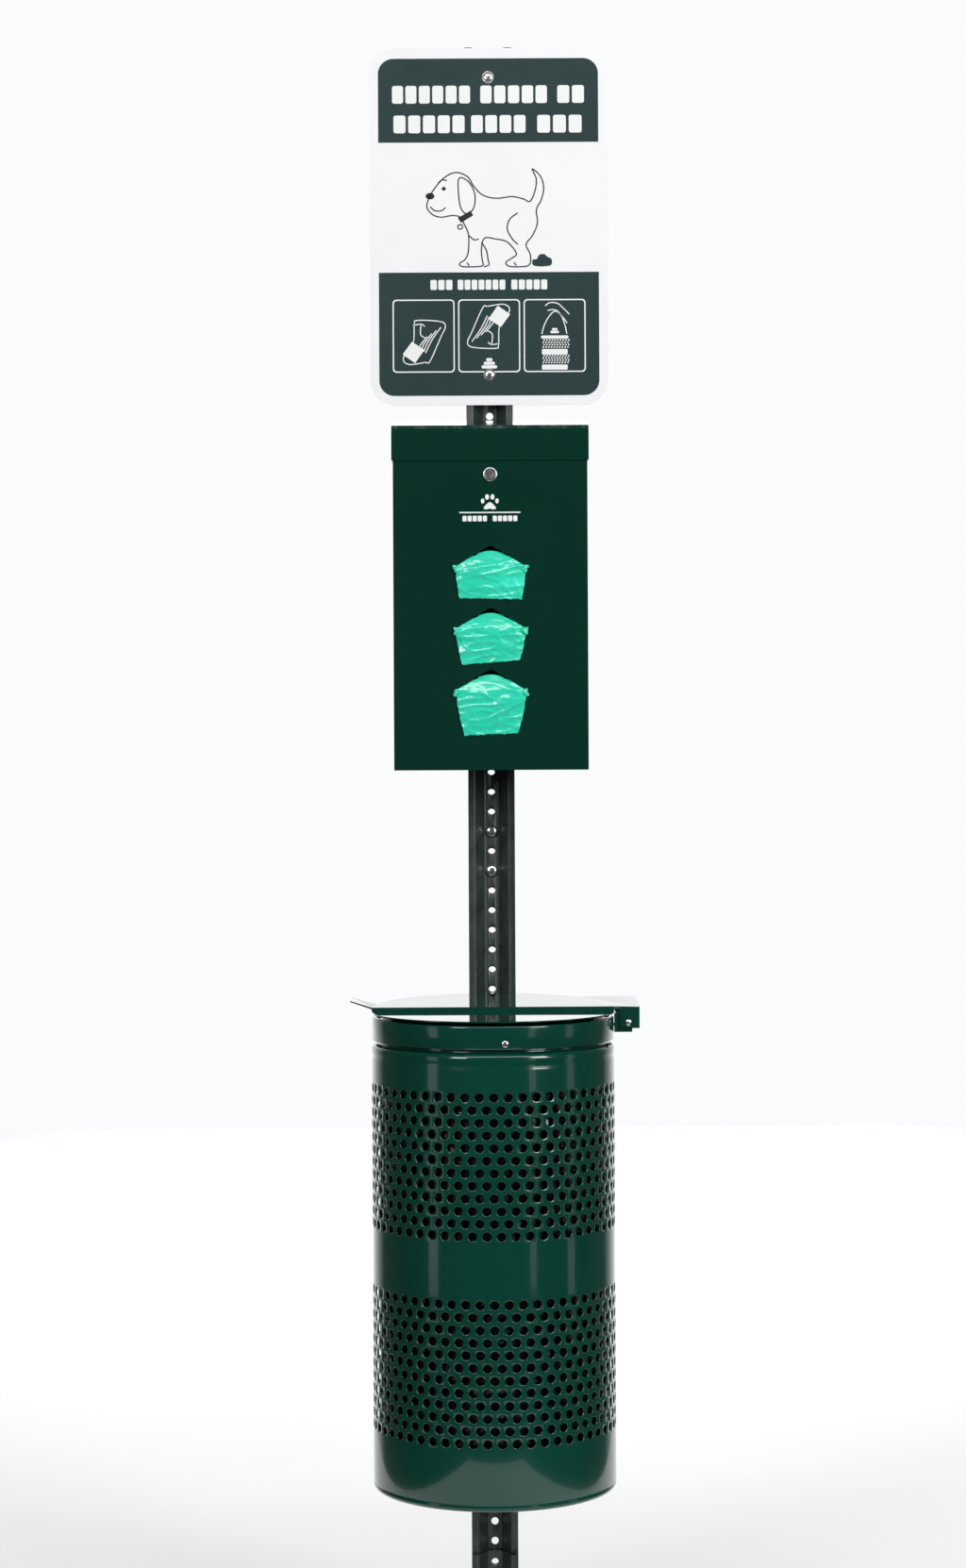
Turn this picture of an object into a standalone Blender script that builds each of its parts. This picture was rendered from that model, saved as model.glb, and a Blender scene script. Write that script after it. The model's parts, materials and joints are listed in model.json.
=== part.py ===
"""Pet waste station: a three-piece channel post that carries a sign, a bag dispenser and a lidded can.

Metres, +Z up. X = 0 is the middle of the post, Y = 0 the front of the upper post's flanges, Z = 0 the
ground. The station faces -Y. Each sub-part is one object; moving parts hang on empties at their axes.
"""

import math

import bmesh
import bpy
from mathutils import Matrix, Vector

GAP = 0.0003

# Channel post: half-width, flange width, depth, sheet and the perforation pitch.
POST_HALF = 0.02975
POST_FLANGE = 0.009
POST_WEB_HALF = 0.00925
POST_DEPTH = 0.022
POST_SHEET = 0.003
POST_STEP = 0.0074
HOLE_PITCH = 0.0254
HOLE_RADIUS = 0.00475
HOLE_SIDES = 8
SECTION_LENGTH = 1.2192
POST_TOP = 2.044
FIRST_HOLE = POST_TOP - 0.0135
LOWER_HOLE_DROP = 0.0025
LOWER_TOP = 1.186
ANCHOR_TOP = 0.112
ANCHOR_LENGTH = 0.61
ANCHOR_POINT = 0.07
WEB_FRONT = POST_DEPTH
WEB_REAR = POST_DEPTH + POST_SHEET

# Sign.
SIGN_WIDTH = 0.3048
SIGN_HEIGHT = 0.4572
SIGN_TOP = 2.0425
SIGN_SHEET = 0.002
SIGN_CORNER = 0.0318
SIGN_HOLES = (1, 16)

# Bag dispenser.
BOX_HALF = 0.122
BOX_DEPTH = 0.088
BOX_BOTTOM = 1.1186
BOX_FRONT_TOP = 1.540
BOX_REAR_TOP = 1.545
BOX_EAR = 0.0055
BOX_SHEET = 0.0015
BOX_FRONT = -GAP - BOX_DEPTH
BOX_BOLTS = (21, 34)
SLOT_APEXES = (1.4006, 1.3226, 1.2454)
SLOT_HALF = 0.0472
SLOT_SHOULDER = 0.0267
SLOT_BOTTOM = 0.036

# Behind each slot: a folded tray with a pack of bags. Out of it: one bag, pulled half through.
TRAY_DROP = 0.0527
TRAY_HALF = 0.052
TRAY_FRONT = -0.0845
TRAY_LIP = 0.006
TRAY_BACK_RISE = 0.020
TRAY_SHEET = 0.0012
PACK_HALF = 0.048
PACK_FRONT = -0.0820
PACK_REAR = -0.0640
PACK_DROP = 0.0125
BAG_DROPS = (0.0671, 0.0691, 0.0821)
BAG_FOOT_HALVES = (0.0375, 0.0355, 0.0325)
BAG_TOP_HALF = 0.016
BAG_TOP_DROP = 0.0095
BAG_THICKNESS = 0.005
BAG_CLEARANCE = 0.0013

# Hood of the dispenser, hinged on two pivot pins near its rear top edge.
HOOD_HALF = 0.1238
HOOD_SHEET = 0.0012
HOOD_BOTTOM = 1.5070
HOOD_FRONT = BOX_FRONT - 0.0022
HOOD_REAR = -0.0045
HOOD_REAR_TOP = 1.5649
HOOD_EDGE = (-0.0800, 1.5519)
HOOD_FLANGE_TOP = 1.5418
HOOD_AXIS = (-0.0125, 1.5560)
PIVOT_RADIUS = 0.0015

# Cam lock in the dispenser's front.
LOCK_Z = 1.4895
LOCK_BEZEL = 0.0092
LOCK_BODY = 0.0080
LOCK_PLUG = 0.0056
LOCK_REAR = -0.0580
CAM_FRONT = -0.0575
CAM_SHEET = 0.002
CAM_REACH = 0.025

# Can: a drum with a rolled shoulder and an inset neck.
CAN_RADIUS = 0.1495
CAN_AXIS_Y = -0.151
CAN_BOTTOM = 0.2388
CAN_SHOULDER = 0.7729
NECK_RADIUS = 0.1415
NECK_TOP = 0.8120
CAN_SHEET = 0.0012
CAN_SIDES = 48
CAN_BOLTS = (51, 68)

# Waste bag hung open inside the can.
LINER_RADIUS = 0.1432
LINER_NECK = 0.1385
LINER_TOP = 0.786
LINER_SHEET = 0.0008

# Collar round the neck, and the lid that swings on it.
COLLAR_BOTTOM = 0.7884
COLLAR_TOP = 0.8164
COLLAR_SCREW_Z = 0.7953
LID_FRONT_Z = 0.8212
LID_STEP_Z = 0.8258
LID_RISE = 0.040
LID_SHEET = 0.0015
LID_SIDES = 72
LID_AXIS = (0.167, 0.8072)
TAB_END = 0.181
TAB_INNER = 0.1567
TAB_DEPTH = 0.105
FLANGE_BOTTOM = 0.8001
GRIP_REACH = 0.0255
GRIP_RISE = 0.0110
GRIP_ROOT_HALF = 0.0385
GRIP_END_HALF = 0.027

FACING_FRONT = (math.pi / 2, 0.0, 0.0)


def clear_scene():
    for old in list(bpy.data.objects):
        bpy.data.objects.remove(old, do_unlink=True)


clear_scene()
station = bpy.data.collections.new("pet_waste_station")
cutters = bpy.data.collections.new("cutters")
bpy.context.scene.collection.children.link(station)
bpy.context.scene.collection.children.link(cutters)
cutters.hide_render = True


def material(name, colour, roughness, metallic=0.0):
    made = bpy.data.materials.new(name)
    made.use_nodes = True
    shader = made.node_tree.nodes["Principled BSDF"]
    shader.inputs["Base Color"].default_value = (*colour, 1.0)
    shader.inputs["Roughness"].default_value = roughness
    shader.inputs["Metallic"].default_value = metallic
    return made


GREEN = material("green_powder_coat", (0.008, 0.055, 0.036), 0.25)
LINER_FILM = material("black_liner_film", (0.012, 0.012, 0.013), 0.35)
DARK_GREEN = material("dark_green_post_paint", (0.030, 0.048, 0.042), 0.45)
SIGN_WHITE = material("white_sign_face", (0.86, 0.87, 0.88), 0.4)
CHROME = material("bright_fastener", (0.75, 0.75, 0.76), 0.2, 1.0)
STEEL = material("zinc_plated_steel", (0.55, 0.56, 0.57), 0.4, 1.0)
BAG_FILM = material("mint_bag_film", (0.05, 0.75, 0.45), 0.35)


def finish_object(obj, paint):
    """Gives a finished object its material and smooth shading with sharp edges kept."""
    obj.data.materials.clear()
    obj.data.materials.append(paint)
    if obj.type == "MESH":
        obj.data.shade_smooth()
        obj.data.set_sharp_from_angle(angle=math.radians(35))
    return obj


def mesh_object(name, bm, paint, collection=station):
    bmesh.ops.recalc_face_normals(bm, faces=bm.faces)
    mesh = bpy.data.meshes.new(name)
    bm.to_mesh(mesh)
    bm.free()
    obj = bpy.data.objects.new(name, mesh)
    collection.objects.link(obj)
    return finish_object(obj, paint)


def circle(radius, sides, centre=(0.0, 0.0), turn=0.0):
    steps = (turn + 2 * math.pi * step / sides for step in range(sides))
    return [(centre[0] + radius * math.cos(a), centre[1] + radius * math.sin(a)) for a in steps]


def rectangle(low, high):
    return [(low[0], low[1]), (high[0], low[1]), (high[0], high[1]), (low[0], high[1])]


def rounded_rectangle(half_width, half_height, radius, steps=6):
    points = []
    for corner, (sx, sy) in enumerate(((1, 1), (-1, 1), (-1, -1), (1, -1))):
        centre = (sx * (half_width - radius), sy * (half_height - radius))
        for step in range(steps + 1):
            angle = math.pi / 2 * (corner + step / steps)
            points.append((centre[0] + radius * math.cos(angle), centre[1] + radius * math.sin(angle)))
    return points


def plate(name, outlines, thickness, place, paint):
    """A flat piece: the first outline is its edge, the others are holes; place carries it from local XY."""
    curve = bpy.data.curves.new(name, "CURVE")
    curve.dimensions = "2D"
    curve.fill_mode = "BOTH"
    curve.extrude = thickness / 2
    for outline in outlines:
        spline = curve.splines.new("POLY")
        spline.points.add(len(outline) - 1)
        for point, (u, v) in zip(spline.points, outline):
            point.co = (u, v, 0.0, 1.0)
        spline.use_cyclic_u = True
    guide = bpy.data.objects.new(name + "_outline", curve)
    station.objects.link(guide)
    graph = bpy.context.evaluated_depsgraph_get()
    mesh = bpy.data.meshes.new_from_object(guide.evaluated_get(graph))
    bpy.data.objects.remove(guide, do_unlink=True)
    bm = bmesh.new()
    bm.from_mesh(mesh)
    bpy.data.meshes.remove(mesh)
    bmesh.ops.remove_doubles(bm, verts=bm.verts, dist=0.00001)
    bmesh.ops.transform(bm, matrix=place, verts=bm.verts)
    return mesh_object(name, bm, paint)


def facing_front(x, y, z):
    """Carries local XY to world XZ, with local +Z towards the front."""
    return Matrix.Translation((x, y, z)) @ Matrix.Rotation(math.pi / 2, 4, "X")


def turned(name, profile, centre, rotation, paint, sides=12, collection=station):
    """A turned piece: profile is (radius, height) down its outer side, spun about its own Z axis."""
    bm = bmesh.new()
    verts = [bm.verts.new((radius, 0.0, height)) for radius, height in profile]
    for first, second in zip(verts, verts[1:]):
        bm.edges.new((first, second))
    if profile[0][0] > 0:
        bm.edges.new((verts[-1], verts[0]))
    mesh = bpy.data.meshes.new(name)
    bm.to_mesh(mesh)
    bm.free()
    obj = bpy.data.objects.new(name, mesh)
    collection.objects.link(obj)
    spin = obj.modifiers.new("spin", "SCREW")
    spin.steps = sides
    spin.render_steps = sides
    spin.use_merge_vertices = True
    spin.merge_threshold = 0.00001
    spin.use_smooth_shade = True
    obj.location = centre
    obj.rotation_euler = rotation
    return finish_object(obj, paint)


def drill(target, holes, name):
    """Cuts round holes: each is (centre, axis, radius, length, sides)."""
    bm = bmesh.new()
    for centre, axis, radius, length, sides in holes:
        turn = Vector((0, 0, 1)).rotation_difference(Vector(axis)).to_matrix().to_4x4()
        bmesh.ops.create_cone(
            bm,
            cap_ends=True,
            segments=sides,
            radius1=radius,
            radius2=radius,
            depth=length,
            matrix=Matrix.Translation(centre) @ turn,
        )
    cutter = mesh_object(name, bm, STEEL, cutters)
    cutter.hide_render = True
    cutter.display_type = "WIRE"
    cut = target.modifiers.new("holes", "BOOLEAN")
    cut.operation = "DIFFERENCE"
    cut.solver = "EXACT"
    cut.object = cutter


def thicken(obj, thickness, offset=-1.0):
    shell = obj.modifiers.new("sheet", "SOLIDIFY")
    shell.thickness = thickness
    shell.offset = offset
    shell.use_even_offset = True


def hole_height(index, drop=0.0):
    return FIRST_HOLE - HOLE_PITCH * index - drop


def channel(name, front, top, bottom, point, holes):
    """One post section: a folded strip whose web hangs lower than its flanges by point."""
    half = [(POST_HALF, 0.0), (POST_HALF - POST_FLANGE, 0.0), (POST_WEB_HALF, POST_DEPTH)]
    section = half + [(-x, y) for x, y in reversed(half)]
    bm = bmesh.new()
    rows = []
    for x, y in section:
        drop = point * y / POST_DEPTH
        high = bm.verts.new((x, front + y, top))
        low = bm.verts.new((x, front + y, bottom + point - drop))
        rows.append((high, low))
    for (high_a, low_a), (high_b, low_b) in zip(rows, rows[1:]):
        bm.faces.new((high_a, low_a, low_b, high_b))
    post = mesh_object(name, bm, DARK_GREEN)
    towards_rear = post.data.polygons[0].normal.y > 0
    thicken(post, POST_SHEET, 1.0 if towards_rear else -1.0)
    web = front + POST_DEPTH + POST_SHEET / 2
    drill(
        post,
        [((0, web, z), (0, 1, 0), HOLE_RADIUS, 4 * POST_SHEET, HOLE_SIDES) for z in holes],
        name + "_holes",
    )
    return post


def build_post():
    upper_bottom = POST_TOP - SECTION_LENGTH
    lower_bottom = LOWER_TOP - SECTION_LENGTH
    anchor_bottom = ANCHOR_TOP - ANCHOR_LENGTH
    every = range(int((POST_TOP - anchor_bottom) / HOLE_PITCH))
    edge = 2 * HOLE_RADIUS
    upper = [hole_height(i) for i in every if hole_height(i) > upper_bottom + HOLE_RADIUS]
    lower = [hole_height(i, LOWER_HOLE_DROP) for i in every]
    channel("post_upper", 0.0, POST_TOP, upper_bottom, 0.0, upper)
    in_lower = [z for z in lower if lower_bottom + edge < z < LOWER_TOP - edge]
    channel("post_lower", POST_STEP, LOWER_TOP, lower_bottom, 0.0, in_lower)
    in_anchor = [z for z in lower if anchor_bottom + 2 * edge < z < ANCHOR_TOP - HOLE_RADIUS]
    channel("ground_anchor", 0.0, ANCHOR_TOP, anchor_bottom, ANCHOR_POINT, in_anchor)


def pan_profile(head, height, shank, length, ring=0.0):
    """A domed head over a straight shank; the height is zero under the head."""
    dome = [(head * math.cos(a), height * math.sin(a)) for a in (1.2, 0.8, 0.4)]
    rim = [(head + ring, height * 0.25), (head + ring, 0.0)]
    return [(0.0, height)] + dome + rim + [(shank, 0.0), (shank, -length), (0.0, -length)]


def bolt(name, seat, z, head, height, shank, tail, paint, ring=0.0, x=0.0):
    """A bolt whose head's underside is at Y = seat and whose end is at Y = tail."""
    profile = pan_profile(head, height, shank, tail - seat, ring)
    return turned(name, profile, (x, seat, z), FACING_FRONT, paint)


def nut(name, front, z, bore, paint=STEEL, across=0.0127, thickness=0.005):
    hexagon = circle(across / math.sqrt(3), 6)
    place = facing_front(0.0, front + thickness / 2, z)
    return plate(name, [hexagon, circle(bore, 8)], thickness, place, paint)


def build_sign():
    middle = SIGN_TOP - SIGN_HEIGHT / 2
    heights = [hole_height(index) for index in SIGN_HOLES]
    outlines = [rounded_rectangle(SIGN_WIDTH / 2, SIGN_HEIGHT / 2, SIGN_CORNER)]
    outlines += [circle(0.0036, 8, (0.0, z - middle)) for z in heights]
    face = -GAP - SIGN_SHEET
    plate("sign_panel", outlines, SIGN_SHEET, facing_front(0, face + SIGN_SHEET / 2, middle), SIGN_WHITE)
    for label, z in zip(("upper", "lower"), heights):
        bolt("sign_screw_" + label, face - GAP, z, 0.0062, 0.0034, 0.0030, 0.034, CHROME, ring=0.0018)
        nut("sign_nut_" + label, WEB_REAR + GAP, z, 0.0034)


def build_post_bolts():
    rear = POST_STEP + WEB_REAR + GAP
    middle = LOWER_HOLE_DROP / 2
    for label, index in (("upper", 39), ("lower", 41)):
        z = hole_height(index, middle)
        bolt("splice_bolt_" + label, WEB_FRONT - GAP, z, 0.0075, 0.0048, 0.0030, 0.042, CHROME)
        nut("splice_nut_" + label, rear, z, 0.0034)
    for label, index in (("upper", 77), ("lower", 79)):
        z = hole_height(index, LOWER_HOLE_DROP)
        bolt("anchor_bolt_" + label, WEB_FRONT - GAP, z, 0.0075, 0.0048, 0.0030, 0.042, CHROME)
        nut("anchor_nut_" + label, rear, z, 0.0034)


def prism_shell(name, outline, half_width, open_edges, thickness, paint):
    """A folded sheet: the outline in YZ between two walls at +-half_width; open_edges have no sheet."""
    bm = bmesh.new()
    left = [bm.verts.new((-half_width, y, z)) for y, z in outline]
    right = [bm.verts.new((half_width, y, z)) for y, z in outline]
    bm.faces.new(left)
    bm.faces.new(list(reversed(right)))
    count = len(outline)
    for index in range(count):
        if index not in open_edges:
            following = (index + 1) % count
            bm.faces.new((left[index], right[index], right[following], left[following]))
    obj = mesh_object(name, bm, paint)
    outside = obj.data.polygons[0].normal.x < 0
    thicken(obj, thickness, -1.0 if outside else 1.0)
    return obj


def slot_outline(apex):
    bottom = apex - SLOT_BOTTOM
    shoulder = apex - SLOT_SHOULDER
    return [
        (0.0, apex),
        (-SLOT_HALF, shoulder),
        (-SLOT_HALF, bottom),
        (SLOT_HALF, bottom),
        (SLOT_HALF, shoulder),
    ]


def build_dispenser():
    front = rectangle((-BOX_HALF, BOX_BOTTOM), (BOX_HALF, BOX_FRONT_TOP))
    lock_hole = circle(LOCK_BODY + GAP, 16, (0.0, LOCK_Z))
    outlines = [front, lock_hole] + [slot_outline(apex) for apex in SLOT_APEXES]
    plate("dispenser_front", outlines, BOX_SHEET, facing_front(0, BOX_FRONT + BOX_SHEET / 2, 0), GREEN)

    inner_front = BOX_FRONT + BOX_SHEET + GAP
    axis_y, axis_z = HOOD_AXIS
    side = [
        (-GAP, BOX_BOTTOM),
        (-GAP, BOX_REAR_TOP),
        (axis_y + BOX_EAR, BOX_REAR_TOP),
        (axis_y + BOX_EAR, axis_z),
        (axis_y + 0.0040, axis_z + 0.0040),
        (axis_y, axis_z + 0.0052),
        (HOOD_EDGE[0], HOOD_EDGE[1] - 0.0039),
        (inner_front, BOX_FRONT_TOP),
        (inner_front, BOX_BOTTOM),
    ]
    bottom_edge = len(side) - 1
    open_edges = [index for index in range(len(side)) if index != bottom_edge]
    sides = prism_shell("dispenser_sides", side, BOX_HALF, open_edges, BOX_SHEET, GREEN)

    inside = BOX_HALF - BOX_SHEET - GAP
    back = rectangle((-inside, BOX_BOTTOM + BOX_SHEET + GAP), (inside, BOX_REAR_TOP - 0.001))
    heights = [hole_height(BOX_BOLTS[0]), hole_height(BOX_BOLTS[1], LOWER_HOLE_DROP / 2)]
    bolt_holes = [circle(0.0036, 8, (0.0, z)) for z in heights]
    place = facing_front(0, -GAP - BOX_SHEET / 2, 0)
    plate("dispenser_back", [back] + bolt_holes, BOX_SHEET, place, GREEN)
    seat = -2 * GAP - BOX_SHEET
    rears = (WEB_REAR + GAP, POST_STEP + WEB_REAR + GAP)
    for label, z, rear in zip(("upper", "lower"), heights, rears):
        bolt("dispenser_bolt_" + label, seat, z, 0.0065, 0.0040, 0.0030, rear + 0.009, STEEL)
        nut("dispenser_nut_" + label, rear, z, 0.0034)

    hood = [
        (HOOD_REAR, HOOD_BOTTOM),
        (HOOD_REAR, HOOD_REAR_TOP),
        HOOD_EDGE,
        (HOOD_FRONT + 0.0028, HOOD_FLANGE_TOP + 0.0052),
        (HOOD_FRONT, HOOD_FLANGE_TOP),
        (HOOD_FRONT, HOOD_BOTTOM),
    ]
    cover = prism_shell("dispenser_hood", hood, HOOD_HALF, (0, len(hood) - 1), HOOD_SHEET, GREEN)
    pin_holes = []
    for side_sign, label in ((-1, "left"), (1, "right")):
        centre = (side_sign * BOX_HALF, axis_y, axis_z)
        pin_holes.append((centre, (1, 0, 0), PIVOT_RADIUS + GAP, 0.012, 10))
        turned(
            "hood_pivot_pin_" + label,
            pan_profile(0.0030, 0.0012, PIVOT_RADIUS, 0.0062),
            (side_sign * (HOOD_HALF + GAP), axis_y, axis_z),
            (0.0, side_sign * math.pi / 2, 0.0),
            STEEL,
            sides=10,
        )
    drill(sides, pin_holes, "side_pin_holes")
    drill(cover, pin_holes, "hood_pin_holes")

    tab_top = 1.5545
    tab = rectangle((-0.020, LOCK_Z + 0.0075), (0.020, tab_top))
    tab_place = facing_front(0, CAM_FRONT + CAM_SHEET + 0.0005 + 0.00075, 0)
    latch = plate("hood_latch_tab", [tab], 0.0015, tab_place, STEEL)
    pivot = bpy.data.objects.new("hood_axis", None)
    pivot.location = (0.0, axis_y, axis_z)
    station.objects.link(pivot)
    hang_on(pivot, cover, latch)


def hang_on(pivot, *pieces):
    """Parents pieces to an empty on their joint's axis and leaves them where they are."""
    for piece in pieces:
        piece.parent = pivot
        piece.matrix_parent_inverse = Matrix.Translation(pivot.location).inverted()


def build_lock():
    face = BOX_FRONT - GAP
    depth = LOCK_REAR - face
    bore = LOCK_PLUG + GAP
    body = [
        (LOCK_BEZEL - 0.0015, 0.0022),
        (LOCK_BEZEL, 0.0010),
        (LOCK_BEZEL, 0.0),
        (LOCK_BODY, 0.0),
        (LOCK_BODY, -depth),
        (bore, -depth),
        (bore, 0.0022),
    ]
    turned("lock_body", body, (0, face, LOCK_Z), FACING_FRONT, CHROME, sides=16)
    clamp = [circle(0.0125, 6), circle(LOCK_BODY + GAP, 16)]
    nut_place = facing_front(0, BOX_FRONT + BOX_SHEET + GAP + 0.002, LOCK_Z)
    plate("lock_nut", clamp, 0.004, nut_place, STEEL)

    stub = CAM_FRONT + CAM_SHEET - face
    plug = [
        (0.0, 0.0018),
        (LOCK_PLUG, 0.0018),
        (LOCK_PLUG, -depth),
        (0.0032, -depth),
        (0.0032, -stub),
        (0.0, -stub),
    ]
    plug_object = turned("lock_plug", plug, (0, face, LOCK_Z), FACING_FRONT, CHROME)
    bm = bmesh.new()
    keyway = Matrix.Translation((0, face - 0.0018, LOCK_Z)) @ Matrix.Diagonal((0.0013, 0.006, 0.0062, 1))
    bmesh.ops.create_cube(bm, size=1.0, matrix=keyway)
    cutter = mesh_object("keyway_cutter", bm, STEEL, cutters)
    cutter.hide_render = True
    cutter.display_type = "WIRE"
    cut = plug_object.modifiers.new("keyway", "BOOLEAN")
    cut.operation = "DIFFERENCE"
    cut.solver = "EXACT"
    cut.object = cutter

    hub = [(0.0065 * math.cos(a), 0.0065 * math.sin(a)) for a in (0.9, 1.6, 2.4, 3.14, 3.9, 4.7, 5.38)]
    tip = [(CAM_REACH, -0.005), (CAM_REACH, 0.005)]
    cam_place = facing_front(0, CAM_FRONT + CAM_SHEET / 2, LOCK_Z)
    cam = plate("lock_cam", [hub + tip, circle(0.0035, 8)], CAM_SHEET, cam_place, STEEL)
    pivot = bpy.data.objects.new("lock_axis", None)
    pivot.location = (0.0, face, LOCK_Z)
    station.objects.link(pivot)
    hang_on(pivot, plug_object, cam)


def build_bags():
    back = -2 * GAP - BOX_SHEET
    for number, apex in enumerate(SLOT_APEXES, start=1):
        floor = apex - TRAY_DROP
        bm = bmesh.new()
        section = [
            (back, floor + TRAY_BACK_RISE),
            (back, floor),
            (TRAY_FRONT, floor),
            (TRAY_FRONT, floor + TRAY_LIP),
        ]
        left = [bm.verts.new((-TRAY_HALF, y, z)) for y, z in section]
        right = [bm.verts.new((TRAY_HALF, y, z)) for y, z in section]
        for index in range(len(section) - 1):
            bm.faces.new((left[index], right[index], right[index + 1], left[index + 1]))
        tray = mesh_object(f"bag_tray_{number}", bm, STEEL)
        upward = tray.data.polygons[1].normal.z > 0
        thicken(tray, TRAY_SHEET, 1.0 if upward else -1.0)

        bm = bmesh.new()
        low = Vector((-PACK_HALF, PACK_FRONT, floor + TRAY_SHEET + GAP))
        high = Vector((PACK_HALF, PACK_REAR, apex - PACK_DROP))
        size = high - low
        place = Matrix.Translation((low + high) / 2) @ Matrix.Diagonal((*size, 1))
        bmesh.ops.create_cube(bm, size=1.0, matrix=place)
        mesh_object(f"bag_pack_{number}", bm, BAG_FILM)

    for number, (apex, drop, half) in enumerate(zip(SLOT_APEXES, BAG_DROPS, BAG_FOOT_HALVES), start=1):
        shoulder = apex - SLOT_SHOULDER
        outline = [
            (BAG_TOP_HALF, apex - BAG_TOP_DROP),
            (-BAG_TOP_HALF, apex - BAG_TOP_DROP),
            (-SLOT_HALF + 0.002, shoulder),
            (-SLOT_HALF + 0.003, shoulder - 0.018),
            (-half, apex - drop),
            (half, apex - drop),
            (SLOT_HALF - 0.003, shoulder - 0.018),
            (SLOT_HALF - 0.002, shoulder),
        ]
        place = facing_front(0, BOX_FRONT - BAG_CLEARANCE - BAG_THICKNESS / 2, 0)
        plate(f"hanging_bag_{number}", [outline], BAG_THICKNESS, place, BAG_FILM)


def shell_profile(outer, sheet):
    """Closed wall profile from the outer line, top to bottom, with the inner line offset inwards."""
    inner = []
    for index, (radius, height) in enumerate(outer):
        before = Vector(outer[max(index - 1, 0)])
        after = Vector(outer[min(index + 1, len(outer) - 1)])
        along = (after - before).normalized()
        inward = Vector((along.y, -along.x))
        inner.append((radius + inward.x * sheet, height + inward.y * sheet))
    return outer + inner[::-1]


def around_can(angle, radius, z):
    """A point at an angle from the can's front, towards +X, and the outward direction there."""
    outward = Vector((math.sin(angle), -math.cos(angle), 0.0))
    return Vector((0, CAN_AXIS_Y, z)) + outward * radius, outward


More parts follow.
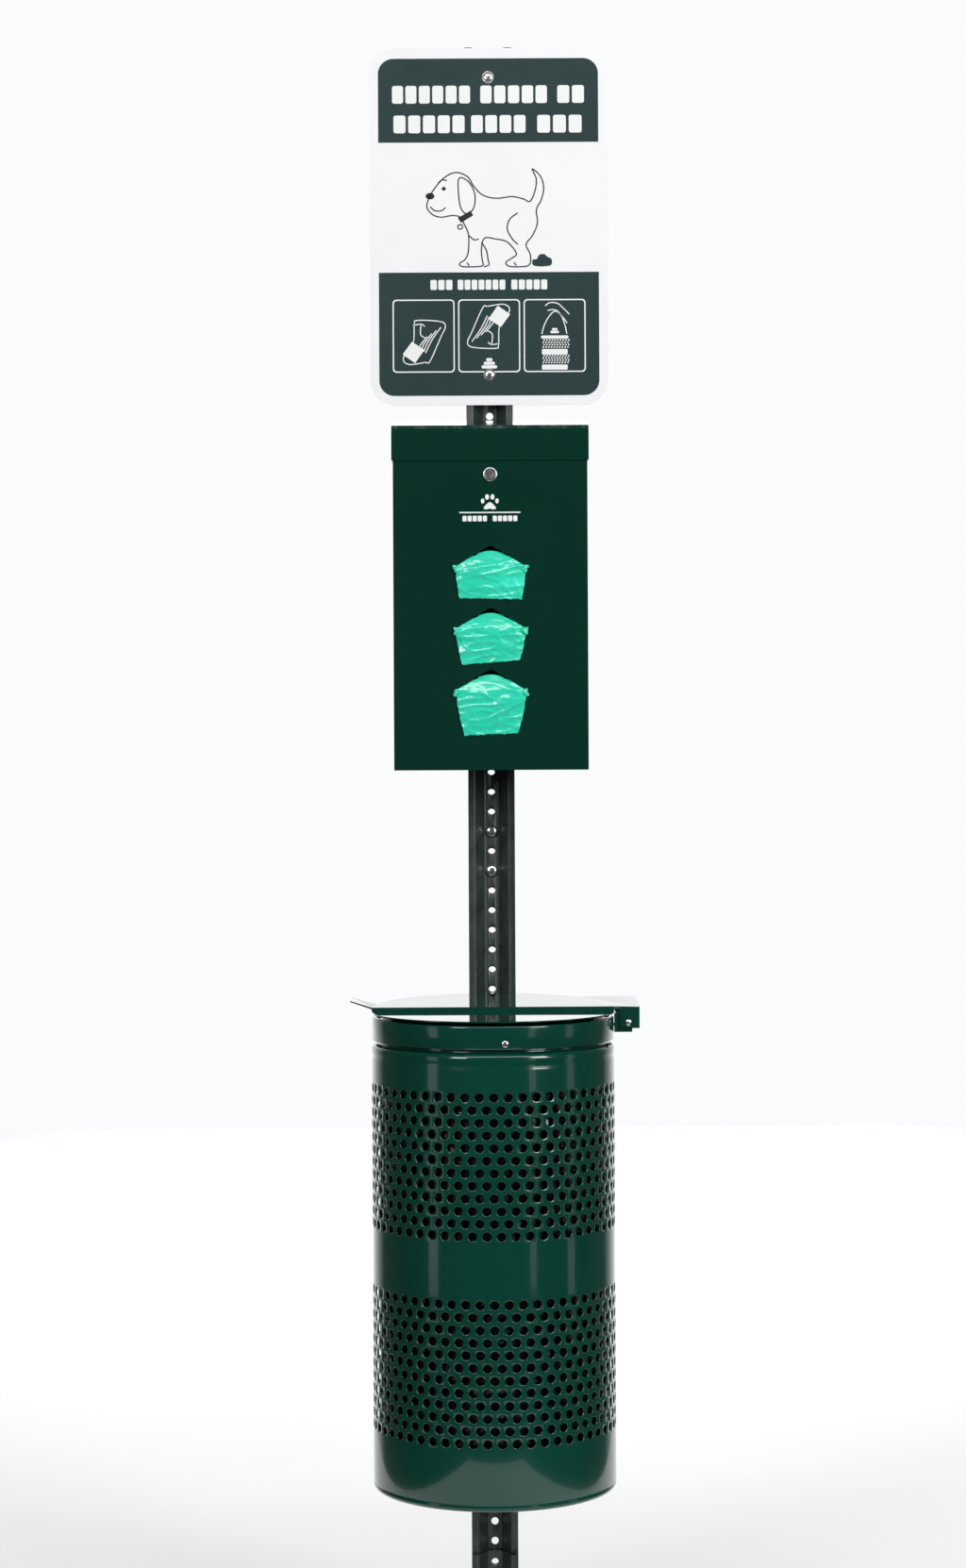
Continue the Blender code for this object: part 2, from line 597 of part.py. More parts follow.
def build_can():
    roll = [
        (NECK_RADIUS, NECK_TOP),
        (NECK_RADIUS, CAN_SHOULDER + 0.0107),
        (CAN_RADIUS - 0.0030, CAN_SHOULDER + 0.0090),
        (CAN_RADIUS - 0.0008, CAN_SHOULDER + 0.0050),
        (CAN_RADIUS, CAN_SHOULDER),
    ]
    foot = [
        (CAN_RADIUS, CAN_BOTTOM + 0.0060),
        (CAN_RADIUS - 0.0018, CAN_BOTTOM + 0.0018),
        (CAN_RADIUS - 0.0060, CAN_BOTTOM),
        (CAN_RADIUS - 0.0140, CAN_BOTTOM),
    ]
    can = turned(
        "bin_body", shell_profile(roll + foot, CAN_SHEET), (0, CAN_AXIS_Y, 0), (0, 0, 0), GREEN, CAN_SIDES
    )
    floor_radius = CAN_RADIUS - 0.0050
    floor_top = CAN_BOTTOM + 0.0060
    dish = [(0.0, floor_top), (floor_radius, floor_top), (floor_radius, floor_top - CAN_SHEET)]
    dish += [(floor_radius - 0.006, floor_top - 0.0040), (0.0, floor_top - 0.0040)]
    turned("bin_floor", dish, (0, CAN_AXIS_Y, 0), (0, 0, 0), GREEN, CAN_SIDES)

    liner_floor = floor_top + 2 * GAP
    liner = [
        (LINER_NECK, LINER_TOP),
        (LINER_NECK, CAN_SHOULDER + 0.0050),
        (LINER_RADIUS, CAN_SHOULDER - 0.0080),
        (LINER_RADIUS, liner_floor + 0.0110),
        (LINER_RADIUS - 0.0030, liner_floor + 0.0030),
        (LINER_RADIUS - 0.0110, liner_floor),
        (0.0, liner_floor),
    ]
    inner = [(radius - LINER_SHEET, height) for radius, height in liner[:4]]
    inner += [(LINER_RADIUS - 0.0036, liner_floor + 0.0036)]
    inner += [(LINER_RADIUS - 0.0112, liner_floor + LINER_SHEET), (0.0, liner_floor + LINER_SHEET)]
    turned("bin_liner", inner[::-1] + liner, (0, CAN_AXIS_Y, 0), (0, 0, 0), LINER_FILM, CAN_SIDES)

    collar_outer = [
        (NECK_RADIUS + 0.0020, COLLAR_TOP),
        (CAN_RADIUS - 0.0022, COLLAR_TOP),
        (CAN_RADIUS - 0.0006, COLLAR_TOP - 0.0018),
        (CAN_RADIUS - 0.0006, COLLAR_BOTTOM),
    ]
    collar = turned(
        "lid_collar",
        shell_profile(collar_outer, CAN_SHEET),
        (0, CAN_AXIS_Y, 0),
        (0, 0, 0),
        GREEN,
        CAN_SIDES,
    )

    can_holes = []
    collar_holes = []
    for number, degrees in enumerate((5.4, 125.4, -114.6), start=1):
        angle = math.radians(degrees)
        seat, outward = around_can(angle, CAN_RADIUS, COLLAR_SCREW_Z)
        middle, _ = around_can(angle, CAN_RADIUS - 0.004, COLLAR_SCREW_Z)
        hole = (middle, outward, 0.0024, 0.020, 10)
        can_holes.append(hole)
        collar_holes.append(hole)
        turned(
            f"collar_screw_{number}",
            pan_profile(0.0042, 0.0020, 0.0020, 0.0125),
            seat,
            Vector((0, 0, 1)).rotation_difference(outward).to_euler(),
            CHROME,
            sides=10,
        )

    wall_y = CAN_AXIS_Y + CAN_RADIUS
    rear = POST_STEP + WEB_REAR + GAP
    for label, index in zip(("upper", "lower"), CAN_BOLTS):
        z = hole_height(index, LOWER_HOLE_DROP)
        can_holes.append(((0, wall_y, z), (0, 1, 0), 0.0034, 0.012, 10))
        bolt("bin_bolt_" + label, wall_y - CAN_SHEET - 2 * GAP, z, 0.0070, 0.0028, 0.0030, 0.043, STEEL)
        nut("bin_nut_" + label, rear, z, 0.0034)
        saddle("bin_bracket_" + label, wall_y + 2 * GAP, POST_STEP - GAP, z)
    drill(can, can_holes, "can_holes")

    rivets = []
    bracket_y = (CAN_AXIS_Y + 0.0012, CAN_AXIS_Y + TAB_DEPTH - 0.0032)
    for label, offset in (("front", -0.0088), ("rear", 0.0088)):
        y = CAN_AXIS_Y + 0.016 + offset
        start = math.asin((y - CAN_AXIS_Y) / CAN_RADIUS)
        reach = CAN_RADIUS * math.cos(start)
        rivets.append((label, reach, y))
    hinge_parts(collar, collar_holes, bracket_y, rivets)


def saddle(name, front, rear, z):
    """A folded bracket between the can's wall and the post's flanges."""
    half = 0.027
    height = 0.030
    bm = bmesh.new()
    section = [(-half, rear), (-half, front), (half, front), (half, rear)]
    low = [bm.verts.new((x, y, z - height / 2)) for x, y in section]
    high = [bm.verts.new((x, y, z + height / 2)) for x, y in section]
    for index in range(len(section) - 1):
        bm.faces.new((low[index], low[index + 1], high[index + 1], high[index]))
    bracket = mesh_object(name, bm, DARK_GREEN)
    forward = bracket.data.polygons[1].normal.y < 0
    thicken(bracket, 0.002, -1.0 if forward else 1.0)
    drill(bracket, [((0, front + 0.001, z), (0, 1, 0), 0.0034, 0.010, 10)], name + "_hole")


def hinge_parts(collar, collar_holes, bracket_y, rivets):
    """The U-shaped bracket on the collar, its rivets, the lid and the long hinge pin."""
    base = CAN_RADIUS + GAP
    low_z = 0.7953
    high_z = 0.8190
    ear_end = LID_AXIS[0] + 0.005
    sheet = 0.002
    bm = bmesh.new()
    section = [(ear_end, bracket_y[0]), (base, bracket_y[0]), (base, bracket_y[1]), (ear_end, bracket_y[1])]
    low = [bm.verts.new((x, y, low_z)) for x, y in section]
    high = [bm.verts.new((x, y, high_z)) for x, y in section]
    for index in range(len(section) - 1):
        bm.faces.new((low[index], low[index + 1], high[index + 1], high[index]))
    bracket = mesh_object("hinge_bracket", bm, GREEN)
    inward = bracket.data.polygons[1].normal.x < 0
    thicken(bracket, sheet, -1.0 if inward else 1.0)
    ear_holes = []
    for y in (bracket_y[0] + sheet / 2, bracket_y[1] - sheet / 2):
        ear_holes.append(((LID_AXIS[0], y, LID_AXIS[1]), (0, 1, 0), 0.0028, 0.008, 12))
    for label, reach, y in rivets:
        z = (low_z + high_z) / 2 - 0.004
        hole = ((base, y, z), (1, 0, 0), 0.0018, 0.016, 8)
        ear_holes.append(hole)
        collar_holes.append(hole)
        turned(
            "bracket_rivet_" + label,
            pan_profile(0.0034, 0.0014, 0.0015, 0.0062),
            (base + sheet + GAP, y, z),
            (0.0, math.pi / 2, 0.0),
            STEEL,
            sides=8,
        )
    drill(bracket, ear_holes, "bracket_holes")
    drill(collar, collar_holes, "collar_holes")

    lid = build_lid()
    front = CAN_AXIS_Y - LID_SHEET / 2
    rear = CAN_AXIS_Y + TAB_DEPTH
    pin = turned(
        "hinge_pin",
        pan_profile(0.0043, 0.0022, 0.0025, rear - front + 0.0045),
        (LID_AXIS[0], front - GAP, LID_AXIS[1]),
        FACING_FRONT,
        CHROME,
    )
    pivot = bpy.data.objects.new("lid_axis", None)
    pivot.location = (LID_AXIS[0], CAN_AXIS_Y, LID_AXIS[1])
    station.objects.link(pivot)
    hang_on(pivot, lid, pin)


def rear_lid_z(y):
    """Height of the lid's rear half, which rises gently from the step towards the post."""
    return LID_STEP_Z + LID_RISE * (y - CAN_AXIS_Y)


def build_lid():
    """The lid: a round sheet with a step across it, a bent-up grip and a folded hinge tab."""
    radius = CAN_RADIUS
    half_turn = LID_SIDES // 2
    grip_angle = math.asin(GRIP_ROOT_HALF / radius)
    bm = bmesh.new()

    def rear_point(x, y):
        return bm.verts.new((x, y, rear_lid_z(y)))

    def rim(angle):
        return radius * math.cos(angle), CAN_AXIS_Y + radius * math.sin(angle)

    front_span = math.pi - grip_angle
    front_angles = [math.pi + grip_angle + front_span * i / half_turn for i in range(half_turn + 1)]
    front_rim = [bm.verts.new((*rim(angle), LID_FRONT_Z)) for angle in front_angles]
    front_left = bm.verts.new((-radius, CAN_AXIS_Y, LID_FRONT_Z))
    bm.faces.new([front_left] + front_rim)

    step_left = rear_point(-radius, CAN_AXIS_Y)
    step_right = rear_point(radius, CAN_AXIS_Y)
    bm.faces.new([front_left, step_left, step_right, front_rim[-1]])

    tab_angle = math.asin(TAB_DEPTH / radius)
    rear_count = half_turn - 4
    span = math.pi - grip_angle - tab_angle
    rear_rim = [rear_point(*rim(tab_angle + span * i / rear_count)) for i in range(rear_count + 1)]
    tab_front = rear_point(TAB_END, CAN_AXIS_Y)
    tab_mid = rear_point(TAB_INNER, CAN_AXIS_Y)
    tab_rear = rear_point(TAB_END, CAN_AXIS_Y + TAB_DEPTH)
    tab_rear_mid = rear_point(TAB_INNER, CAN_AXIS_Y + TAB_DEPTH)
    bm.faces.new([step_left, step_right, tab_mid, tab_front, tab_rear, tab_rear_mid] + rear_rim)
    for inner, outer in ((tab_mid, tab_front), (tab_rear_mid, tab_rear)):
        y = inner.co.y
        low_inner = bm.verts.new((TAB_INNER, y, FLANGE_BOTTOM))
        low_outer = bm.verts.new((TAB_END, y, FLANGE_BOTTOM))
        bm.faces.new([inner, outer, low_outer, low_inner])

    end_x = -radius - GRIP_REACH
    end_z = LID_STEP_Z + GRIP_RISE
    front_end = bm.verts.new((end_x, CAN_AXIS_Y - GRIP_END_HALF, end_z))
    rear_end = bm.verts.new((end_x, CAN_AXIS_Y + GRIP_END_HALF, end_z))
    bm.faces.new([step_left, front_end, rear_end, rear_rim[-1]])
    bmesh.ops.recalc_face_normals(bm, faces=bm.faces)
    lid = mesh_object("bin_lid", bm, GREEN)
    thicken(lid, LID_SHEET, 0.0)
    axis_holes = []
    for y in (CAN_AXIS_Y, CAN_AXIS_Y + TAB_DEPTH):
        axis_holes.append(((LID_AXIS[0], y, LID_AXIS[1]), (0, 1, 0), 0.0028, 0.008, 12))
    drill(lid, axis_holes, "lid_pin_holes")
    return lid


build_post()
build_sign()
build_post_bolts()
build_dispenser()
build_lock()
build_bags()
build_can()
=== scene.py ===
"""Looks of the pet waste station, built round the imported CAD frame. Metres, +Z up, front faces -Y."""

import json
import math

import bmesh
import bpy
from mathutils import Matrix, Vector, noise


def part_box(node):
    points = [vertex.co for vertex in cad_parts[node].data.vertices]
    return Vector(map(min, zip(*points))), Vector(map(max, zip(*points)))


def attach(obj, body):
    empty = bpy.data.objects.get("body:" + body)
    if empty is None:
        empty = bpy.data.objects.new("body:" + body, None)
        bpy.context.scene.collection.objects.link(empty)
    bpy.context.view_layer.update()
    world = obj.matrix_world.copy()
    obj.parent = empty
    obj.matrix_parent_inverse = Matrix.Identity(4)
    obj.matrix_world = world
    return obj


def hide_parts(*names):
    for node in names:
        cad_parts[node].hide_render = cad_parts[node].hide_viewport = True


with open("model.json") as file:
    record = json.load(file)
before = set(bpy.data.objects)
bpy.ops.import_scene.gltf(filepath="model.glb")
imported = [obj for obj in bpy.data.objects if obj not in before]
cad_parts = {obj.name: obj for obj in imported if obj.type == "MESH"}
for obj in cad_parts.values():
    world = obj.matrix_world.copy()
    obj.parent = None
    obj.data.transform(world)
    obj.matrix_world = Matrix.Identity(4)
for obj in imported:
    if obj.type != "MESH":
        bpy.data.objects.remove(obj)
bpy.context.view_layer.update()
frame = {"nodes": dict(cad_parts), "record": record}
NODES = frame["nodes"]
BODIES = frame["record"]["behaviour"]["bodies"]
BODY_OF = {node: body for body, members in BODIES.items() for node in members}

# Sizes that the frame's boxes don't give.
POST_SHEET = 0.003
POST_HALF = 0.02975
POST_FLANGE = 0.009
POST_BEND = 0.0026
WEB_HALF = 0.00925
POST_DEPTH = 0.022
HOLE_PITCH = 0.0254
HOLE_RADIUS = 0.00475
FIRST_HOLE = 2.0305
CAN_SHEET = 0.0012
CAN_ROWS = 12
CAN_HOLES = 54
ROW_PITCH = 0.0150
CAN_HOLE_RADIUS = 0.0054
UPPER_BAND_TOP = 0.7315
LOWER_BAND_TOP = 0.4850
BAG_DROPS = (0.0671, 0.0691, 0.0821)
SLOT_APEXES = (1.4006, 1.3226, 1.2454)
SLOT_SHOULDER = 0.0267
SLOT_HEIGHT = 0.036
SLOT_HALF = 0.0472
FACE_LIFT = 0.00015
SKIN = 0.00012

CAMERA_PLACE = (-0.0105, -4.0496, 1.1557)
CAMERA_LENS = 72.56
CAMERA_SHIFT = -0.0277
CAMERA_ROLL = math.radians(0.284)
FORWARD = (0, -1, 0)


# --- Materials ---


def new_material(name):
    made = bpy.data.materials.new(name)
    made.use_nodes = True
    tree = made.node_tree
    return made, tree, tree.nodes["Principled BSDF"]


def noise_node(tree, scale, detail):
    place = tree.nodes.new("ShaderNodeTexCoord")
    texture = tree.nodes.new("ShaderNodeTexNoise")
    texture.inputs["Scale"].default_value = scale
    texture.inputs["Detail"].default_value = detail
    tree.links.new(place.outputs["Object"], texture.inputs["Vector"])
    return texture


def colour_by(tree, value, target, first, last, *between):
    """Links a value to a colour through a ramp. Each stop is (position, colour)."""
    ramp = tree.nodes.new("ShaderNodeValToRGB")
    stops = ramp.color_ramp.elements
    for stop, (position, colour) in zip((stops[0], stops[1]), (first, last)):
        stop.position = position
        stop.color = (*colour, 1.0)
    for position, colour in between:
        stops.new(position).color = (*colour, 1.0)
    tree.links.new(value, ramp.inputs["Fac"])
    tree.links.new(ramp.outputs["Color"], target)


def vary_colour(tree, shader, dark, light, scale, detail=4.0):
    texture = noise_node(tree, scale, detail)
    colour_by(tree, texture.outputs["Fac"], shader.inputs["Base Color"], (0.35, dark), (0.65, light))


def vary_roughness(tree, shader, low, high, scale):
    texture = noise_node(tree, scale, 6.0)
    span = tree.nodes.new("ShaderNodeMapRange")
    span.inputs["From Min"].default_value = 0.3
    span.inputs["From Max"].default_value = 0.7
    span.inputs["To Min"].default_value = low
    span.inputs["To Max"].default_value = high
    tree.links.new(texture.outputs["Fac"], span.inputs["Value"])
    tree.links.new(span.outputs["Result"], shader.inputs["Roughness"])


def bump_node(tree, texture, height, strength):
    bump = tree.nodes.new("ShaderNodeBump")
    bump.inputs["Strength"].default_value = strength
    bump.inputs["Distance"].default_value = height
    tree.links.new(texture.outputs["Fac"], bump.inputs["Height"])
    return bump


def add_bump(tree, shader, scale, height, strength, detail=2.0):
    bump = bump_node(tree, noise_node(tree, scale, detail), height, strength)
    tree.links.new(bump.outputs["Normal"], shader.inputs["Normal"])
    return bump


def enamel(name, dark, light, low, high, peel, coat=0.6, coat_rough=0.04):
    """Glossy coloured powder coat: a clear skin over a slightly uneven colour, with orange peel."""
    made, tree, shader = new_material(name)
    vary_colour(tree, shader, dark, light, 3.0)
    vary_roughness(tree, shader, low, high, 9.0)
    shader.inputs["Coat Weight"].default_value = coat
    shader.inputs["Coat Roughness"].default_value = coat_rough
    add_bump(tree, shader, 420.0, peel, 0.5)
    return made


def post_paint():
    """Thin dark paint on hot-rolled steel: satin, faintly pebbled, dusty in streaks."""
    made, tree, shader = new_material("post_paint")
    vary_colour(tree, shader, (0.020, 0.032, 0.029), (0.042, 0.060, 0.055), 40.0, 8.0)
    vary_roughness(tree, shader, 0.32, 0.55, 60.0)
    shader.inputs["Coat Weight"].default_value = 0.25
    shader.inputs["Coat Roughness"].default_value = 0.25
    add_bump(tree, shader, 900.0, 0.00035, 0.6, 4.0)
    return made


def sheeting(name, dark, light, low, high):
    """Printed retroreflective sheeting: nearly flat colour with a fine cell texture."""
    made, tree, shader = new_material(name)
    vary_colour(tree, shader, dark, light, 6.0)
    vary_roughness(tree, shader, low, high, 30.0)
    shader.inputs["Specular IOR Level"].default_value = 0.30
    add_bump(tree, shader, 700.0, 0.00003, 0.35)
    return made


def bright_metal(name, colour, low, high):
    made, tree, shader = new_material(name)
    shader.inputs["Metallic"].default_value = 1.0
    vary_colour(tree, shader, [c * 0.8 for c in colour], colour, 150.0)
    vary_roughness(tree, shader, low, high, 260.0)
    add_bump(tree, shader, 1200.0, 0.00004, 0.5)
    return made


def stretched_noise(tree, stretch, turn, scale, detail):
    """Noise drawn out along the film, for folds that lie mostly across it."""
    place = tree.nodes.new("ShaderNodeTexCoord")
    mapping = tree.nodes.new("ShaderNodeMapping")
    mapping.inputs["Scale"].default_value = stretch
    mapping.inputs["Rotation"].default_value = turn
    texture = tree.nodes.new("ShaderNodeTexNoise")
    texture.noise_type = "RIDGED_MULTIFRACTAL"
    texture.inputs["Scale"].default_value = scale
    texture.inputs["Detail"].default_value = detail
    tree.links.new(place.outputs["Object"], mapping.inputs["Vector"])
    tree.links.new(mapping.outputs["Vector"], texture.inputs["Vector"])
    return texture


def film(name, dark, light, crease, rough, folds, fold_height, coat, specular):
    """Thin crinkled plastic film: glossy, with long soft folds, and the colour pales to a painted highlight
    on the fold ridges.
    """
    made, tree, shader = new_material(name)
    broad = stretched_noise(tree, (0.45, 1.0, 1.5), (0.0, 0.3, 0.0), folds, 1.5)
    # The last stop is a painted highlight: a pale glint colour painted along the fold ridges.
    ends = ((0.10, dark), (1.0, crease))
    colour_by(tree, broad.outputs["Fac"], shader.inputs["Base Color"], *ends, (0.45, light), (0.72, light))
    vary_roughness(tree, shader, rough, rough + 0.10, 80.0)
    shader.inputs["Specular IOR Level"].default_value = specular
    shader.inputs["Coat Weight"].default_value = coat
    shader.inputs["Coat Roughness"].default_value = 0.10
    bump = bump_node(tree, broad, fold_height, 0.9)
    fine = add_bump(tree, shader, folds * 6.0, fold_height * 0.12, 0.6, 3.0)
    tree.links.new(bump.outputs["Normal"], fine.inputs["Normal"])
    return made


MINT_DARK = (0.030, 0.74, 0.490)
MINT_LIGHT = (0.052, 0.93, 0.660)
# Painted highlight colour, laid on the bag film's fold ridges as pale glints.
MINT_RIDGE_HIGHLIGHT = (0.42, 0.95, 0.86)
BLACK_DARK = (0.0024, 0.0025, 0.0027)
BLACK_LIGHT = (0.0055, 0.0057, 0.0061)
BOX_DARK = (0.0008, 0.0285, 0.0184)
BOX_LIGHT = (0.0013, 0.0345, 0.0226)
CAN_DARK = (0.0014, 0.0500, 0.0330)
CAN_LIGHT = (0.0026, 0.0620, 0.0420)
LID_DARK = (0.0026, 0.0440, 0.0290)
LID_LIGHT = (0.0040, 0.0540, 0.0360)
BOX_ENAMEL = enamel("box_enamel", BOX_DARK, BOX_LIGHT, 0.14, 0.20, 0.00008)
CAN_ENAMEL = enamel("can_enamel", CAN_DARK, CAN_LIGHT, 0.12, 0.18, 0.00006)
LID_ENAMEL = enamel("lid_enamel", LID_DARK, LID_LIGHT, 0.04, 0.07, 0.00001, 1.0, 0.02)
POST_PAINT = post_paint()
SIGN_WHITE = sheeting("sign_white", (0.90, 0.905, 0.92), (0.93, 0.935, 0.945), 0.35, 0.5)
SIGN_GREEN = sheeting("sign_green", (0.010, 0.034, 0.036), (0.013, 0.039, 0.041), 0.45, 0.6)
SIGN_LINE = sheeting("sign_line", (0.008, 0.010, 0.012), (0.016, 0.018, 0.020), 0.4, 0.55)
PRINT_WHITE = sheeting("print_white", (0.88, 0.90, 0.90), (0.92, 0.93, 0.93), 0.35, 0.5)
CHROME = bright_metal("polished_fastener", (0.88, 0.88, 0.89), 0.20, 0.32)
ZINC = bright_metal("zinc_fastener", (0.60, 0.61, 0.62), 0.30, 0.45)
FILM = film("mint_film", MINT_DARK, MINT_LIGHT, MINT_RIDGE_HIGHLIGHT, 0.22, 26.0, 0.0024, 0.8, 0.5)
LINER_FILM = film("liner_film", BLACK_DARK, BLACK_LIGHT, BLACK_LIGHT, 0.20, 22.0, 0.0030, 0.3, 0.3)


# --- Mesh tools ---


def shade(obj, angle=35.0):
    obj.data.shade_smooth()
    obj.data.set_sharp_from_angle(angle=math.radians(angle))


def mesh_piece(name, bm, paint, replaced=(), body="station", recalc=True):
    """Makes a visible piece that rides on a body, has a material slot and stands for CAD nodes."""
    if recalc:
        bmesh.ops.recalc_face_normals(bm, faces=bm.faces)
    mesh = bpy.data.meshes.new(name)
    bm.to_mesh(mesh)
    bm.free()
    obj = bpy.data.objects.new(name, mesh)
    bpy.context.scene.collection.objects.link(obj)
    obj.data.materials.append(paint)
    shade(obj)
    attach(obj, body)
    if replaced:
        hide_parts(*replaced)
    return obj


def bridge(bm, rings):
    """Joins each closed ring of vertices to the next with quads."""
    for first, second in zip(rings, rings[1:]):
        for index in range(len(first)):
            after = (index + 1) % len(first)
            bm.faces.new((first[index], second[index], second[after], first[after]))


def soften(obj, width, segments=2, angle=40.0):
    bevel = obj.modifiers.new("soft_edges", "BEVEL")
    bevel.width = width
    bevel.segments = segments
    bevel.limit_method = "ANGLE"
    bevel.angle_limit = math.radians(angle)
    bevel.harden_normals = True


def apply_modifiers(obj):
    graph = bpy.context.evaluated_depsgraph_get()
    mesh = bpy.data.meshes.new_from_object(obj.evaluated_get(graph))
    old = obj.data
    obj.modifiers.clear()
    obj.data = mesh
    bpy.data.meshes.remove(old)


def cut_away(obj, bm, use_self=False, edge=0.0):
    """Cuts a closed bmesh out of a piece, softens the edges if asked, and applies it all."""
    mesh = bpy.data.meshes.new("cutter")
    bm.to_mesh(mesh)
    bm.free()
    cutter = bpy.data.objects.new("cutter", mesh)
    bpy.context.scene.collection.objects.link(cutter)
    cut = obj.modifiers.new("cut", "BOOLEAN")
    cut.object = cutter
    cut.solver = "EXACT"
    cut.use_self = use_self
    if edge:
        soften(obj, edge, 2, 50.0)
    apply_modifiers(obj)
    bpy.data.objects.remove(cutter, do_unlink=True)
    shade(obj, 30.0)


def circle(radius, sides, centre=(0.0, 0.0)):
    steps = (2 * math.pi * step / sides for step in range(sides))
    return [(centre[0] + radius * math.cos(a), centre[1] + radius * math.sin(a)) for a in steps]


def rounded_box(low, high, radius, steps=8, corners=(1, 1, 1, 1)):
    """Outline of a box with chosen corners rounded: top right, top left, bottom left, bottom right."""
    points = []
    signs = ((1, 1), (-1, 1), (-1, -1), (1, -1))
    for index, ((sx, sy), wanted) in enumerate(zip(signs, corners)):
        x = high[0] if sx > 0 else low[0]
        y = high[1] if sy > 0 else low[1]
        if not wanted:
            points.append((x, y))
            continue
        centre = (x - sx * radius, y - sy * radius)
        for step in range(steps + 1):
            angle = math.pi / 2 * (index + step / steps)
            points.append((centre[0] + radius * math.cos(angle), centre[1] + radius * math.sin(angle)))
    return points


def flat_mesh(outlines, thickness, place):
    """A bmesh of a flat outline with holes, thickness along local Z, carried by place."""
    curve = bpy.data.curves.new("outline", "CURVE")
    curve.dimensions = "2D"
    curve.fill_mode = "BOTH"
    curve.extrude = thickness / 2
    for outline in outlines:
        spline = curve.splines.new("POLY")
        spline.points.add(len(outline) - 1)
        for point, (u, v) in zip(spline.points, outline):
            point.co = (u, v, 0.0, 1.0)
        spline.use_cyclic_u = True
    guide = bpy.data.objects.new("outline", curve)
    bpy.context.scene.collection.objects.link(guide)
    graph = bpy.context.evaluated_depsgraph_get()
    mesh = bpy.data.meshes.new_from_object(guide.evaluated_get(graph))
    bpy.data.objects.remove(guide, do_unlink=True)
    bm = bmesh.new()
    bm.from_mesh(mesh)
    bpy.data.meshes.remove(mesh)
    bmesh.ops.remove_doubles(bm, verts=bm.verts, dist=0.000002)
    bmesh.ops.transform(bm, matrix=place, verts=bm.verts)
    return bm


def eased_corner(before, corner, after, radius, steps):
    """Points of the quadratic arc that rounds one corner."""
    corner = Vector(corner)
    back = (Vector(before) - corner).normalized() * radius
    ahead = (Vector(after) - corner).normalized() * radius
    shares = [step / steps for step in range(steps + 1)]
    return [corner + back * (1 - t) ** 2 + ahead * t**2 for t in shares]


def facing_front(x, y, z):
    return Matrix.Translation((x, y, z)) @ Matrix.Rotation(math.pi / 2, 4, "X")


def lathe_mesh(profile, sides, place):
    """Spins (radius, height) points, top to bottom on the outer side, about local Z."""
    bm = bmesh.new()
    rings = []
    for radius, height in profile:
        if radius < 1e-7:
            rings.append([bm.verts.new((0, 0, height))])
            continue
        turns = [2 * math.pi * step / sides for step in range(sides)]
        rings.append([bm.verts.new((radius * math.cos(a), radius * math.sin(a), height)) for a in turns])
    for above, below in zip(rings, rings[1:]):
        for step in range(sides):
            after = (step + 1) % sides
            if len(above) == 1:
                bm.faces.new((above[0], below[step], below[after]))
            elif len(below) == 1:
                bm.faces.new((above[step], below[0], above[after]))
            else:
                bm.faces.new((above[step], below[step], below[after], above[after]))
    bmesh.ops.transform(bm, matrix=place, verts=bm.verts)
    return bm


def towards(point, direction):
    """Carries local +Z to a direction at a point."""
    turn = Vector((0, 0, 1)).rotation_difference(Vector(direction)).to_matrix().to_4x4()
    return Matrix.Translation(point) @ turn


# --- Post ---


def rounded_section():
    """Front line of the channel, left to right, with a small radius at each bend."""
    bend = POST_HALF - POST_FLANGE
    corners = [(POST_HALF, 0.0), (bend, 0.0), (WEB_HALF, POST_DEPTH), (-WEB_HALF, POST_DEPTH)]
    corners += [(-bend, 0.0), (-POST_HALF, 0.0)]
    points = [Vector(corners[0])]
    for before, corner, after in zip(corners, corners[1:], corners[2:]):
        points += eased_corner(before, corner, after, POST_BEND, 4)
    points.append(Vector(corners[-1]))
    return points


def post_section(name, node, point=0.0, drop=0.0):
    """A channel section in its CAD node's place, with round bends and round punched holes."""
    low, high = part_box(node)
    bm = bmesh.new()
    rows = []
    for x, y in rounded_section():
        lift = point * (1 - y / POST_DEPTH)
        top = bm.verts.new((x, low[1] + y, high[2]))
        rows.append((top, bm.verts.new((x, low[1] + y, low[2] + lift))))
    for (high_a, low_a), (high_b, low_b) in zip(rows, rows[1:]):
        bm.faces.new((high_a, low_a, low_b, high_b))
    for face in bm.faces:
        face.normal_update()
    post = mesh_piece(name, bm, POST_PAINT, [node], recalc=False)
    wall = post.modifiers.new("sheet", "SOLIDIFY")
    wall.thickness = POST_SHEET
    wall.offset = 1.0 if post.data.polygons[0].normal.y > 0 else -1.0
    wall.use_even_offset = True

    cut = bmesh.new()
    punch = {"radius1": HOLE_RADIUS, "radius2": HOLE_RADIUS, "depth": 4 * POST_SHEET}
    z = FIRST_HOLE - drop
    while z > low[2] + point * 0.3 + HOLE_RADIUS:
        if z <= high[2] - HOLE_RADIUS:
            place = towards((0, low[1] + POST_DEPTH + POST_SHEET / 2, z), (0, 1, 0))
            bmesh.ops.create_cone(cut, cap_ends=True, segments=24, matrix=place, **punch)
        z -= HOLE_PITCH
    cut_away(post, cut, edge=0.0004)


post_section("upper_channel", "post_upper")
post_section("lower_channel", "post_lower", drop=0.0025)
post_section("anchor_channel", "ground_anchor", point=0.07, drop=0.0025)


# --- Fasteners ---


def cross_cutter(head, depth):
    """A Phillips recess, pointing down local Z from the origin."""
    bm = bmesh.new()
    for turn in (0.3, 0.3 + math.pi / 2):
        place = Matrix.Rotation(turn, 4, "Z") @ Matrix.Diagonal((head * 0.95, head * 0.17, depth * 2, 1))
        bmesh.ops.create_cube(bm, size=1.0, matrix=place)
    bmesh.ops.create_cone(
        bm, cap_ends=True, segments=12, radius1=0.0002, radius2=head * 0.24, depth=depth * 2.4
    )
    return bm


